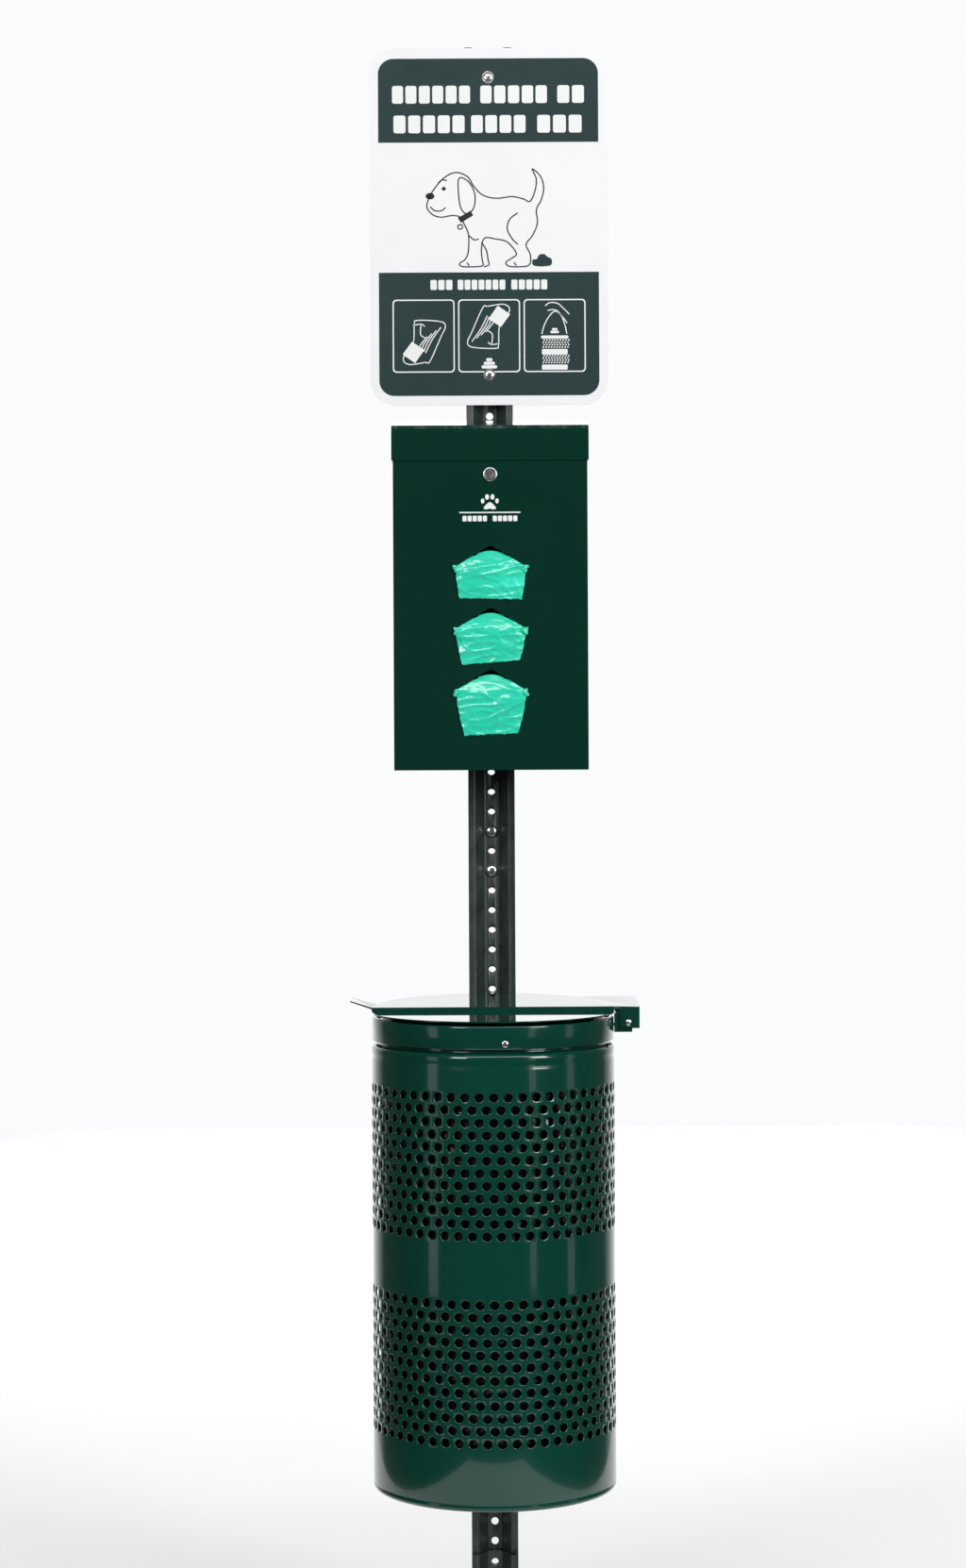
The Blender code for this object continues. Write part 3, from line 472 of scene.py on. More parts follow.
def phillips_screw(name, node, head, height, shank, seat, direction, paint, washer=0.0):
    """A domed cross-recess screw standing for a CAD one: seat is the centre of the head's underside."""
    low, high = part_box(node)
    extent = high - low
    length = max(extent) - height
    steps = [0.5 * math.pi * (1 - s / 9) for s in range(10)]
    dome = [(head * math.cos(a) ** 0.8, height * (0.28 + 0.72 * math.sin(a))) for a in steps]
    profile = [(0.0, height)] + dome[1:] + [(head, 0.0), (shank, 0.0), (shank, -length), (0.0, -length)]
    place = towards(seat, direction)
    bm = lathe_mesh(profile, 40, place)
    screw = mesh_piece(name, bm, paint, [node], BODY_OF[node])
    cut = cross_cutter(head, height * 0.62)
    lift = place @ Matrix.Translation((0, 0, height * 1.02))
    bmesh.ops.transform(cut, matrix=lift, verts=cut.verts)
    bmesh.ops.recalc_face_normals(cut, faces=cut.faces)
    cut_away(screw, cut, use_self=True)
    if washer:
        thin = 0.0008
        ring = [(washer - 0.0004, thin), (washer, thin * 0.4), (washer, 0.0), (head * 0.7, 0.0)]
        ring += [(head * 0.7, thin), (washer - 0.0004, thin)]
        ring_mesh = lathe_mesh(ring, 40, place)
        mesh_piece(name + "_washer", ring_mesh, paint, body=BODY_OF[node])


def box_centre(node):
    low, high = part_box(node)
    return (Vector(low) + Vector(high)) / 2


for label in ("upper", "lower"):
    node = f"sign_screw_{label}"
    seat = (0.0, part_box(node)[0][1] + 0.0034, box_centre(node).z)
    phillips_screw(f"sign_phillips_{label}", node, 0.0060, 0.0030, 0.0030, seat, FORWARD, CHROME, 0.0080)
    for kind in ("splice", "anchor"):
        node = f"{kind}_bolt_{label}"
        seat = (0.0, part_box(node)[0][1] + 0.0048, box_centre(node).z)
        phillips_screw(f"{kind}_truss_{label}", node, 0.0075, 0.0046, 0.0030, seat, FORWARD, CHROME)


# --- Sign ---


def print_on_sign(name, outlines, paint, lift):
    """A printed area: a skin a fraction of a millimetre thick on the sign's face."""
    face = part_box("sign_panel")[0][1] - lift - SKIN / 2
    bm = flat_mesh(outlines, SKIN, facing_front(0, face, 0))
    mesh_piece(name, bm, paint)


def print_lines(name, paths, width, paint, lift):
    """Printed lines: each path is (points, closed) on the sign's XZ plane, drawn as a thin flat ribbon."""
    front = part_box("sign_panel")[0][1] - lift - SKIN
    bm = bmesh.new()
    for points, closed in paths:
        count = len(points)
        rings = []
        for index, point in enumerate(points):
            before = Vector(points[(index - 1) % count] if closed or index else point)
            after = Vector(points[(index + 1) % count] if closed or index < count - 1 else point)
            along = (after - before).normalized()
            side = Vector((-along.y, along.x)) * width / 2
            ring = []
            for sign, y in ((1, front), (-1, front), (-1, front + SKIN), (1, front + SKIN)):
                ring.append(bm.verts.new((point[0] + sign * side.x, y, point[1] + sign * side.y)))
            rings.append(ring)
        bridge(bm, rings + rings[:1] if closed else rings)
        if not closed:
            bm.faces.new(rings[0])
            bm.faces.new(rings[-1])
    mesh_piece(name, bm, paint)


def smooth_line(points, steps=8, closed=False):
    """Catmull-Rom line through given points."""
    count = len(points)
    spans = count if closed else count - 1
    line = []
    for index in range(spans):
        quad = []
        for offset in (-1, 0, 1, 2):
            place = index + offset
            quad.append(Vector(points[place % count] if closed else points[min(max(place, 0), count - 1)]))
        p0, p1, p2, p3 = quad
        for step in range(steps):
            t = step / steps
            point = 2 * p1 + (p2 - p0) * t + (2 * p0 - 5 * p1 + 4 * p2 - p3) * t * t
            point += (3 * p1 - p0 - 3 * p2 + p3) * t**3
            line.append(tuple(point / 2))
    if not closed:
        line.append(tuple(points[-1]))
    return line


SIGN_LOW, SIGN_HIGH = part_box("sign_panel")
SIGN_HALF = SIGN_HIGH[0]
SIGN_SIZE = SIGN_HIGH[2] - SIGN_LOW[2]
FIELD_HALF = SIGN_HALF * 0.9245
FIELD_CORNER = 0.0196


def sign_z(share):
    """Height on the sign, as a share of it from the top edge down."""
    return SIGN_HIGH[2] - SIGN_SIZE * share


def print_fields():
    """The sign's two dark fields, each with a hole for its screw."""
    half = FIELD_HALF
    top = rounded_box((-half, sign_z(0.264)), (half, sign_z(0.029)), FIELD_CORNER, 10, (1, 1, 0, 0))
    low = rounded_box((-half, sign_z(0.9735)), (half, sign_z(0.628)), FIELD_CORNER, 10, (0, 0, 1, 1))
    for name, outline, label in (("top", top, "upper"), ("bottom", low, "lower")):
        screw_hole = circle(0.0040, 20, (0, box_centre("sign_screw_" + label).z))
        print_on_sign("sign_field_" + name, [outline, screw_hole], SIGN_GREEN, FACE_LIFT)


def print_blocks():
    """Rows of blank rounded blocks, in place of words."""
    rows = (
        (0.130, 0.0227, ((-0.1245, -0.0215, 6), (-0.0115, 0.0770, 5), (0.0870, 0.1245, 2))),
        (0.213, 0.0227, ((-0.1230, -0.0285, 5), (-0.0235, 0.0495, 4), (0.0610, 0.1215, 3))),
        (0.663, 0.0127, ((-0.0758, -0.0459, 3), (-0.0408, 0.0217, 7), (0.0278, 0.0755, 5))),
    )
    blocks = []
    for share, height, words in rows:
        middle = sign_z(share)
        for left, right, count in words:
            pitch = (right - left) / count
            for index in range(count):
                low = (left + pitch * (index + 0.09), middle - height / 2)
                high = (left + pitch * (index + 0.91), middle + height / 2)
                blocks.append(rounded_box(low, high, height * 0.13, 5))
    print_on_sign("print_blocks", blocks, PRINT_WHITE, 2.5 * FACE_LIFT)


def print_dog():
    """A plain dog in line, drawn for this sign, with a dropped pile behind it."""
    foot = sign_z(0.612)
    unit = 0.00104
    line_width = 0.0016
    outline = (
        (-73, 85), (-66, 97), (-54, 110), (-40, 116), (-26, 111), (-18, 99), (-7, 88), (10, 84), (29, 86),
        (43, 83), (51, 80), (57, 92), (59, 107), (54, 120), (64, 111), (68, 97), (65, 82), (59, 70),
        (60, 53), (54, 38), (46, 27), (51, 15), (51, 4), (45, 0), (26, 0), (21, 5), (28, 10), (34, 16),
        (23, 30), (8, 34), (-5, 35), (-9, 22), (-8, 8), (-7, 2), (-13, 0), (-32, 0), (-36, 4), (-29, 9),
        (-25, 20), (-25, 40), (-30, 52), (-35, 61), (-45, 63), (-59, 61), (-70, 65), (-76, 74),
    )
    lines = (
        (((-36, 109), (-25, 105), (-17, 90), (-18, 73), (-26, 65), (-34, 72), (-37, 92)), True),
        (((-72, 74), (-66, 69), (-58, 69), (-53, 73)), False),
        (((36, 66), (26, 58), (23, 46), (29, 34), (36, 27)), False),
        (((-9, 30), (-3, 20), (-1, 9), (0, 2), (-6, 0)), False),
        (((-62, 103), (-57, 107), (-51, 106)), False),
        (((-27, 5), (-24, 1)), False),
        (((31, 5), (34, 1)), False),
        (((-24, 38), (-18, 33), (-12, 34)), False),
    )

    def at(x, z):
        return (x * unit, foot + z * unit)

    paths = []
    for points, closed in ((outline, True), *lines):
        paths.append((smooth_line([at(x, z) for x, z in points], 6, closed), closed))
    paths.append((circle(0.0030, 20, at(-35, 49)), True))
    print_lines("dog_lines", paths, line_width, SIGN_LINE, FACE_LIFT)
    collar = [at(-38, 60), at(-22, 69), at(-19, 63), at(-34, 54)]
    print_on_sign("dog_collar", [collar], SIGN_LINE, FACE_LIFT)
    nose = [(x * 1.35, z) for x, z in circle(0.0042, 20)]
    middle = at(-72, 87)
    print_on_sign("dog_nose", [[(x + middle[0], z + middle[1]) for x, z in nose]], SIGN_LINE, FACE_LIFT)
    print_on_sign("dog_eye", [circle(0.0026, 16, at(-55, 96))], SIGN_LINE, FACE_LIFT)
    lumps = ((54, 2), (54, 8), (59, 9), (62, 14), (68, 15), (72, 12), (77, 9), (77, 2), (70, 0), (60, 0))
    pile = smooth_line([at(x, z) for x, z in lumps], 6, True)
    print_on_sign("dog_pile", [pile], SIGN_GREEN, FACE_LIFT)


def print_pictograms():
    """Three white frames with plain drawings: a hand in a bag, a pick-up, a bag going into a can."""
    top = sign_z(0.7038)
    bottom = sign_z(0.9084)
    width = 0.0794
    gap = 0.0045
    lift = 2.5 * FACE_LIFT
    line = 0.0016
    frames = []
    for number in range(3):
        left = (number - 1) * (width + gap) - width / 2
        frames.append(rounded_box((left, bottom), (left + width, top), 0.0050, 6))
        inner_low = (left + line, bottom + line)
        frames.append(rounded_box(inner_low, (left + width - line, top - line), 0.0040, 6))
    print_on_sign("icon_frames", frames, PRINT_WHITE, lift)

    height = top - bottom
    paths = []
    shapes = []
    glove = (
        (-0.33, -0.30), (-0.17, -0.06), (-0.15, 0.24), (-0.10, 0.30), (0.27, 0.28), (0.35, 0.20),
        (0.28, 0.04), (0.10, -0.35), (0.02, -0.37), (-0.24, -0.40),
    )
    for number, flip in ((0, 1), (1, -1)):
        middle = (number - 1) * (width + gap)
        centre = (top + bottom) / 2 + (0.008 if flip < 0 else -0.004)

        def at(x, z):
            return (middle + flip * x * width, centre + flip * z * height * 0.86)

        paths.append((smooth_line([at(x, z) for x, z in glove], 6, True), True))
        paths.append((smooth_line([at(-0.17, 0.22), at(-0.04, 0.24), at(0.02, 0.20)], 6), False))
        paths.append((smooth_line([at(-0.04, 0.24), at(-0.05, 0.08), at(0.02, 0.02)], 6), False))
        for finger in range(4):
            tip = (0.28 - 0.075 * finger, 0.19 - 0.05 * finger)
            knuckle = (0.13 - 0.065 * finger, -0.02 - 0.03 * finger)
            heel = (0.03 - 0.03 * finger, -0.22 + 0.02 * finger)
            paths.append((smooth_line([at(*tip), at(*knuckle), at(*heel)], 6), False))
        shapes.append([at(-0.34, -0.24), at(-0.19, -0.04), at(0.01, -0.17), at(-0.14, -0.38)])

    def bar(x, reach, low, high, corner, steps):
        shapes.append(rounded_box((x - reach, low), (x + reach, high), corner, steps))

    pile_low = bottom + 0.0050
    for step, reach in enumerate((0.0100, 0.0072, 0.0040)):
        z = pile_low + step * 0.0046
        bar(0.0, reach, z, z + 0.0040, 0.0019, 5)

    middle = width + gap
    half = 0.0165
    rim = bottom + height * 0.50
    bar(middle, half, bottom + 0.003, bottom + 0.0095, 0.0015, 4)
    bar(middle, half, bottom + 0.0225, bottom + 0.0295, 0.0015, 4)
    bar(middle, half + 0.001, rim - 0.004, rim, 0.0015, 4)
    for start in (bottom + 0.0122, bottom + 0.0320):
        for row in range(4):
            for column in range(10):
                x = middle - half + 0.0018 + column * 0.0035 + (row % 2) * 0.0012
                shapes.append(circle(0.0011, 8, (x, start + row * 0.0030)))
    bar(middle, 0.0055, rim + 0.003, rim + 0.0060, 0.0014, 5)
    bar(middle, 0.0035, rim + 0.0065, rim + 0.0095, 0.0014, 5)
    bag = (
        (-0.0165, 0.002), (-0.013, 0.014), (-0.006, 0.026), (0.001, 0.031),
        (0.008, 0.026), (0.013, 0.014), (0.0155, 0.002),
    )
    hand = ((-0.012, 0.038), (-0.006, 0.042), (0.004, 0.041), (0.012, 0.034), (0.019, 0.027))
    wrist = ((-0.009, 0.032), (-0.002, 0.033), (0.004, 0.031), (0.010, 0.024), (0.016, 0.016))
    for line_points in (bag, hand, wrist):
        paths.append((smooth_line([(middle + x, rim + z) for x, z in line_points], 6), False))
    print_on_sign("icon_shapes", shapes, PRINT_WHITE, lift)
    print_lines("icon_lines", paths, 0.0013, PRINT_WHITE, lift * 1.5)


NODES["sign_panel"].data.materials.clear()
NODES["sign_panel"].data.materials.append(SIGN_WHITE)
print_fields()
print_blocks()
print_dog()
print_pictograms()


# --- Dispenser ---


def repaint(node, paint, width=0.0, segments=2, angle=40.0):
    """Keeps a CAD node's mesh, with a better material and softened edges."""
    obj = NODES[node]
    obj.data.materials.clear()
    obj.data.materials.append(paint)
    if width:
        soften(obj, width, segments, angle)
    else:
        shade(obj, 35.0)


FRONT_LOW, FRONT_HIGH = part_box("dispenser_front")
LOCK_CENTRE = box_centre("lock_body")


def slot_outline(apex):
    """The house-shaped slot that a bag is pulled through, with eased corners."""
    shoulder = apex - SLOT_SHOULDER
    bottom = apex - SLOT_HEIGHT
    points = [(0, apex), (-SLOT_HALF, shoulder), (-SLOT_HALF, bottom)]
    points += [(SLOT_HALF, bottom), (SLOT_HALF, shoulder)]
    outline = []
    for before, corner, after in zip(points[-1:] + points, points, points[1:] + points[:1]):
        outline += eased_corner(before, corner, after, 0.003, 5)
    return outline


def dispenser_front():
    edge = rounded_box((FRONT_LOW[0], FRONT_LOW[2]), (FRONT_HIGH[0], FRONT_HIGH[2]), 0.0015, 4)
    lock = circle(0.0083, 32, (0, LOCK_CENTRE.z))
    outlines = [edge, lock] + [slot_outline(apex) for apex in SLOT_APEXES]
    sheet = FRONT_HIGH[1] - FRONT_LOW[1]
    bm = flat_mesh(outlines, sheet, facing_front(0, (FRONT_LOW[1] + FRONT_HIGH[1]) / 2, 0))
    front = mesh_piece("dispenser_face", bm, BOX_ENAMEL, ["dispenser_front"])
    soften(front, 0.0006, 3, 50.0)


def emblem():
    """A plain paw over a line and two groups of blank blocks."""
    face = FRONT_LOW[1] - 0.0001
    middle = -0.0005
    base = 1.4610 - 0.0170
    outlines = []
    for x, z, size in ((0.0090, 0.0120, 0.0026), (0.0034, 0.0170, 0.0029)):
        for side in (-1, 1):
            centre_x = middle + side * x
            outlines.append([(centre_x + px * 0.85, base + z + pz * 1.2) for px, pz in circle(size, 20)])
    heel = [(0.0, 0.0105), (-0.0052, 0.0068), (-0.0078, 0.0028), (-0.0040, 0.0014), (0.0, 0.0024)]
    heel += [(0.0040, 0.0014), (0.0078, 0.0028), (0.0052, 0.0068)]
    outlines.append(smooth_line([(middle + x, base + z) for x, z in heel], 6, True))
    half = 0.0385
    outlines.append(rounded_box((middle - half, base - 0.0032), (middle + half, base - 0.0016), 0.0005, 3))
    for word in (-1, 1):
        for block in range(5):
            x = middle + word * (0.0062 + block * 0.0064)
            outlines.append(rounded_box((x - 0.0026, base - 0.0135), (x + 0.0026, base - 0.0065), 0.0011, 4))
    bm = flat_mesh(outlines, 0.0001, facing_front(0, face, 0))
    mesh_piece("plain_emblem", bm, PRINT_WHITE)


def lock_pieces():
    face = FRONT_LOW[1] - 0.0003
    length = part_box("lock_body")[1][1] - face
    steps = [math.pi / 2 * s / 6 for s in range(7)]
    bezel = [(0.0062, 0.0016), (0.0066, 0.0022)]
    bezel += [(0.0074 + 0.0018 * math.sin(a), 0.0004 + 0.0018 * math.cos(a)) for a in steps]
    profile = bezel + [(0.0092, 0.0), (0.0080, 0.0), (0.0080, -length), (0.0060, -length), (0.0060, 0.0016)]
    place = towards((0, face, LOCK_CENTRE.z), FORWARD)
    body = lathe_mesh(profile + [profile[0]], 48, place)
    bmesh.ops.remove_doubles(body, verts=body.verts, dist=0.000005)
    mesh_piece("lock_bezel", body, CHROME, ["lock_body"])
    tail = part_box("lock_plug")[1][1] - face
    plug = [(0.0, 0.0017), (0.0050, 0.0017), (0.0056, 0.0012), (0.0056, -0.0290), (0.0032, -0.0290)]
    plug += [(0.0032, -tail), (0.0, -tail)]
    bm = lathe_mesh(plug, 40, place)
    barrel = mesh_piece("lock_barrel", bm, CHROME, ["lock_plug"], "lock_rotor")
    cut = bmesh.new()
    slot = Matrix.Translation((0, face - 0.0017, LOCK_CENTRE.z)) @ Matrix.Diagonal((0.0013, 0.006, 0.0068, 1))
    bmesh.ops.create_cube(cut, size=1.0, matrix=slot)
    cut_away(barrel, cut)


dispenser_front()
emblem()
lock_pieces()
repaint("dispenser_sides", BOX_ENAMEL, 0.0005)
repaint("dispenser_back", BOX_ENAMEL, 0.0003)
repaint("dispenser_hood", BOX_ENAMEL, 0.0011, 4, 25.0)
repaint("hood_latch_tab", ZINC, 0.0003)
for name in list(NODES):
    if name.startswith(("bag_tray", "hood_pivot", "bracket_rivet", "lock_nut", "lock_cam")):
        repaint(name, ZINC)
    if "_nut_" in name or name.startswith(("dispenser_bolt", "bin_bolt")):
        repaint(name, ZINC)


# --- Bags ---


BAG_TOP_DROP = 0.0068
BAG_TOP_HALF = 0.0165
BAG_TOP_SAG = 0.0029
BAG_COLUMNS = 72
BAG_ROWS = 72
FILM_SHEET = 0.00025


def bag_half(below_apex, drop, bottom_half):
    """Half-width of a hanging bag: under the slot's roof, then from the shoulders in to its foot."""
    if below_apex < SLOT_SHOULDER:
        return max(BAG_TOP_HALF, SLOT_HALF * 0.94 * below_apex / SLOT_SHOULDER)
    fall = ((below_apex - SLOT_SHOULDER) / (drop - SLOT_SHOULDER)) ** 1.7
    return SLOT_HALF * 0.93 * (1 - fall) + bottom_half * fall


def fold_depth(x, z, number):
    """Depth of the film's folds: two sets of slanting ridges over a slow swell."""
    swell = noise.noise(Vector((x * 38, z * 30, number * 5.3)))
    first = noise.noise(Vector((x * 16 + z * 30, z * 85 - x * 20, number * 7.0)))
    second = noise.noise(Vector((x * 30 - z * 22, z * 70 + x * 34, number * 3.1 + 9)))
    ridges = (1 - min(1.0, abs(first) * 3.0)) * 0.0013 + (1 - min(1.0, abs(second) * 3.4)) * 0.0009
    return swell * 0.0014 + ridges


def hanging_bag(number, apex, drop, bottom_half, slant):
    """One bag pulled half out of its slot: thin crinkled film that comes out under the slot's roof."""
    bm = bmesh.new()
    grid = []
    for row in range(BAG_ROWS + 1):
        share = row / BAG_ROWS
        below = BAG_TOP_DROP + (drop - BAG_TOP_DROP) * share
        half = bag_half(below, drop, bottom_half)
        out = min(1.0, (below - BAG_TOP_DROP) / (SLOT_SHOULDER - BAG_TOP_DROP))
        line = []
        for column in range(BAG_COLUMNS + 1):
            across = 2 * column / BAG_COLUMNS - 1
            wave = noise.noise(Vector((across * 3, below * 150, number * 4.0))) * 0.0010
            x = across * (half + wave * across**2)
            belly = 0.0030 * math.sin(math.pi * min(1.0, share * 1.1)) * (1 - 0.7 * across**2)
            inside = (1 - out) ** 2 * 0.0045
            folds = fold_depth(x, apex - below, number) * (0.25 + 0.75 * out)
            y = FRONT_LOW[1] - 0.0009 * out + inside - max(0.0, (belly + folds) * out)
            foot = max(0.0, (share - 0.5) * 2)
            ragged = noise.noise(Vector((across * 9, number * 2.0, 0.3))) * 0.0012 * foot**6
            crown = BAG_TOP_SAG * across**2 * (1 - share) ** 12
            z = apex - below - crown + slant * across * foot + ragged
            line.append(bm.verts.new((x, y, z)))
        grid.append(line)
    for upper, lower in zip(grid, grid[1:]):
        for column in range(BAG_COLUMNS):
            bm.faces.new((upper[column], lower[column], lower[column + 1], upper[column + 1]))
    bag = mesh_piece(f"bag_film_{number}", bm, FILM, [f"hanging_bag_{number}"], recalc=False)
    film_wall = bag.modifiers.new("film", "SOLIDIFY")
    film_wall.thickness = FILM_SHEET
    film_wall.offset = 0.0
    shade(bag, 80.0)
    for side in (-1, 1):
        bag_curl(number, apex, side)


def bag_curl(number, apex, side):
    """The puffed corner of the film where it squeezes round a shoulder of the slot."""
    steps = 16
    sides = 16
    bm = bmesh.new()
    rings = []
    for step in range(steps + 1):
        t = step / steps
        across = side * (SLOT_HALF - 0.0034 + 0.0012 * math.sin(5 * t + number))
        centre = Vector((across, FRONT_LOW[1] - 0.0034, apex - SLOT_SHOULDER + 0.0016 - 0.0092 * t))
        ring = []
        for turn in range(sides):
            angle = 2 * math.pi * turn / sides
            crease = noise.noise(Vector((turn * 0.9, step * 0.5, number * 2 + side)))
            size = 0.0040 * (0.85 + 0.45 * crease) * math.sin(math.pi * (0.12 + 0.76 * t)) ** 0.6
            flat = Vector((math.cos(angle), math.sin(angle) * 0.65, 0.15 * math.sin(2 * angle + number)))
            ring.append(bm.verts.new(centre + flat * size))
        rings.append(ring)
    bridge(bm, rings)
    bm.faces.new(rings[0])
    bm.faces.new(rings[-1])
    label = "left" if side < 0 else "right"
    mesh_piece(f"bag_curl_{number}_{label}", bm, FILM)


def bag_stack(number):
    """The folded bags waiting in a tray: a stack of thin soft layers, each a little out of line."""
    low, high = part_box(f"bag_pack_{number}")
    bm = bmesh.new()
    layers = 18
    inset = 0.0012
    pitch = (high[2] - low[2]) / layers
    for layer in range(layers):
        shift_x = noise.noise(Vector((layer * 1.7, number * 3.0, 0.2))) * inset
        shift_y = noise.noise(Vector((layer * 2.3, number * 5.0, 4.2))) * inset
        corner_low = (low[0] + inset + shift_x, low[1] + inset + shift_y)
        corner_high = (high[0] - inset + shift_x, high[1] - inset + shift_y)
        centre_z = low[2] + (layer + 0.5) * pitch
        outline = rounded_box(corner_low, corner_high, 0.003, 4)
        rings = []
        middle = (Vector(corner_low) + Vector(corner_high)) / 2
        for side, shrink in ((-1, 0.0012), (-0.45, 0.0), (0.45, 0.0), (1, 0.0012)):
            ring = []
            for x, y in outline:
                pull = (Vector((x, y)) - middle).normalized() * shrink
                ring.append(bm.verts.new((x - pull.x, y - pull.y, centre_z + side * pitch * 0.49)))
            rings.append(ring)
        bridge(bm, rings)
        bm.faces.new(rings[0])
        bm.faces.new(rings[-1])
    mesh_piece(f"bag_stack_{number}", bm, FILM, [f"bag_pack_{number}"])


BAG_FOOT_HALVES = (0.0392, 0.0362, 0.0335)
BAG_SLANTS = (-0.0012, 0.0028, 0.0012)
for number, shape in enumerate(zip(SLOT_APEXES, BAG_DROPS, BAG_FOOT_HALVES, BAG_SLANTS), start=1):
    hanging_bag(number, *shape)
    bag_stack(number)


# --- Can ---

CAN_LOW, CAN_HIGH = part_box("bin_body")
CAN_RADIUS = (CAN_HIGH[0] - CAN_LOW[0]) / 2
CAN_Y = (CAN_LOW[1] + CAN_HIGH[1]) / 2
NECK_RADIUS = CAN_RADIUS - 0.0080
SHOULDER_Z = 0.7729
COLUMNS = 4 * CAN_HOLES


def can_point(angle, radius, z):
    return Vector((radius * math.sin(angle), CAN_Y - radius * math.cos(angle), z))


def can_levels():
    """Heights and radii of the plain rings above, between and below the two punched bands."""
    cell = ROW_PITCH
    upper_edge = UPPER_BAND_TOP + cell / 2
    upper_foot = upper_edge - CAN_ROWS * cell
    lower_edge = LOWER_BAND_TOP + cell / 2
    lower_foot = lower_edge - CAN_ROWS * cell
    turns = [math.pi / 2 * s / 7 for s in range(8)]
    dip = 0.0018
    dip_z = SHOULDER_Z + 0.0125
    bead = 0.0062
    bead_z = SHOULDER_Z + 0.0045
    neck = [(NECK_RADIUS, CAN_HIGH[2]), (NECK_RADIUS, dip_z)]
    roll = [(NECK_RADIUS + dip * (1 - math.cos(a)), dip_z - dip * math.sin(a)) for a in turns]
    roll += [(CAN_RADIUS - bead * (1 - math.sin(a)), bead_z + bead * math.cos(a)) for a in turns]
    roll += [(CAN_RADIUS, SHOULDER_Z + 0.0010), (CAN_RADIUS - 0.0007, SHOULDER_Z - 0.0020)]
    roll += [(CAN_RADIUS - 0.0007, SHOULDER_Z - 0.0050), (CAN_RADIUS - 0.0001, SHOULDER_Z - 0.0080)]
    top = neck + roll + [(CAN_RADIUS, SHOULDER_Z - 0.0110), (CAN_RADIUS, upper_edge)]
    middle = [(CAN_RADIUS, upper_foot), (CAN_RADIUS, (upper_foot + lower_edge) / 2), (CAN_RADIUS, lower_edge)]
    base = CAN_LOW[2]
    foot = [(CAN_RADIUS, lower_foot), (CAN_RADIUS, base + 0.0110), (CAN_RADIUS - 0.0006, base + 0.0090)]
    foot += [(CAN_RADIUS - 0.0006, base + 0.0070)]
    curl = 0.0055
    foot += [(CAN_RADIUS - curl * (1 - math.cos(a)), base + curl * (1 - math.sin(a))) for a in turns]
    foot += [(CAN_RADIUS - 0.0140, base)]
    return top, middle, foot, (upper_edge, lower_edge)


def rings_of(bm, levels):
    made = []
    for radius, z in levels:
        made.append([bm.verts.new(can_point(2 * math.pi * c / COLUMNS, radius, z)) for c in range(COLUMNS)])
    bridge(bm, made)


def punched_band(bm, top_z):
    """Rows of round holes on a half-pitch stagger, each in a cell of sixteen edge points."""
    step = 2 * math.pi / COLUMNS
    quarter = ROW_PITCH / 4
    cell = [(u, 2) for u in range(-2, 3)] + [(2, v) for v in (1, 0, -1)]
    cell += [(u, -2) for u in range(2, -3, -1)] + [(-2, v) for v in (-1, 0, 1)]
    for row in range(CAN_ROWS):
        z = top_z - ROW_PITCH * (row + 0.5)
        for hole in range(CAN_HOLES):
            centre = (4 * hole + 2 * (row % 2)) * step
            edge = [bm.verts.new(can_point(centre + u * step, CAN_RADIUS, z + v * quarter)) for u, v in cell]
            rim = []
            lip = []
            for u, v in cell:
                turn = math.atan2(v * quarter, u * step * CAN_RADIUS)
                for ring, extra, depth in ((rim, 0.0008, 0.0), (lip, 0.0, 0.0004)):
                    radius = CAN_HOLE_RADIUS + extra
                    across = radius * math.cos(turn) / CAN_RADIUS
                    point = can_point(centre + across, CAN_RADIUS - depth, z + radius * math.sin(turn))
                    ring.append(bm.verts.new(point))
            count = len(cell)
            for index in range(count):
                after = (index + 1) % count
                bm.faces.new((edge[index], edge[after], rim[after], rim[index]))
                bm.faces.new((rim[index], rim[after], lip[after], lip[index]))


def can_drum():
    top, middle, foot, edges = can_levels()
    bm = bmesh.new()
    for levels in (top, middle, foot):
        rings_of(bm, levels)
    for edge in edges:
        punched_band(bm, edge)
    bmesh.ops.remove_doubles(bm, verts=bm.verts, dist=0.00002)
    drum = mesh_piece("can_drum", bm, CAN_ENAMEL, ["bin_body"])
    wall = drum.modifiers.new("sheet", "SOLIDIFY")
    wall.thickness = CAN_SHEET
    wall.offset = -1.0
    wall.use_even_offset = False


def collar():
    low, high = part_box("lid_collar")
    outer = (high[0] - low[0]) / 2
    turns = [math.pi / 2 * s / 6 for s in range(7)]
    profile = [(NECK_RADIUS + 0.0020, high[2])]
    curl = 0.0022
    profile += [(outer - curl * (1 - math.sin(a)), high[2] - curl * (1 - math.cos(a))) for a in turns]
    profile += [(outer, low[2] + 0.0006), (outer - 0.0004, low[2]), (outer - 0.0012, low[2])]
    profile += [(outer - CAN_SHEET, low[2] + 0.0004), (outer - CAN_SHEET, high[2] - 0.0026)]
    profile += [(outer - 0.0028, high[2] - 0.0013), (NECK_RADIUS + 0.0020, high[2] - CAN_SHEET)]
    bm = lathe_mesh(profile + [profile[0]], 160, Matrix.Translation((0, CAN_Y, 0)))
    bmesh.ops.remove_doubles(bm, verts=bm.verts, dist=0.000005)
    mesh_piece("collar_band", bm, CAN_ENAMEL, ["lid_collar"])


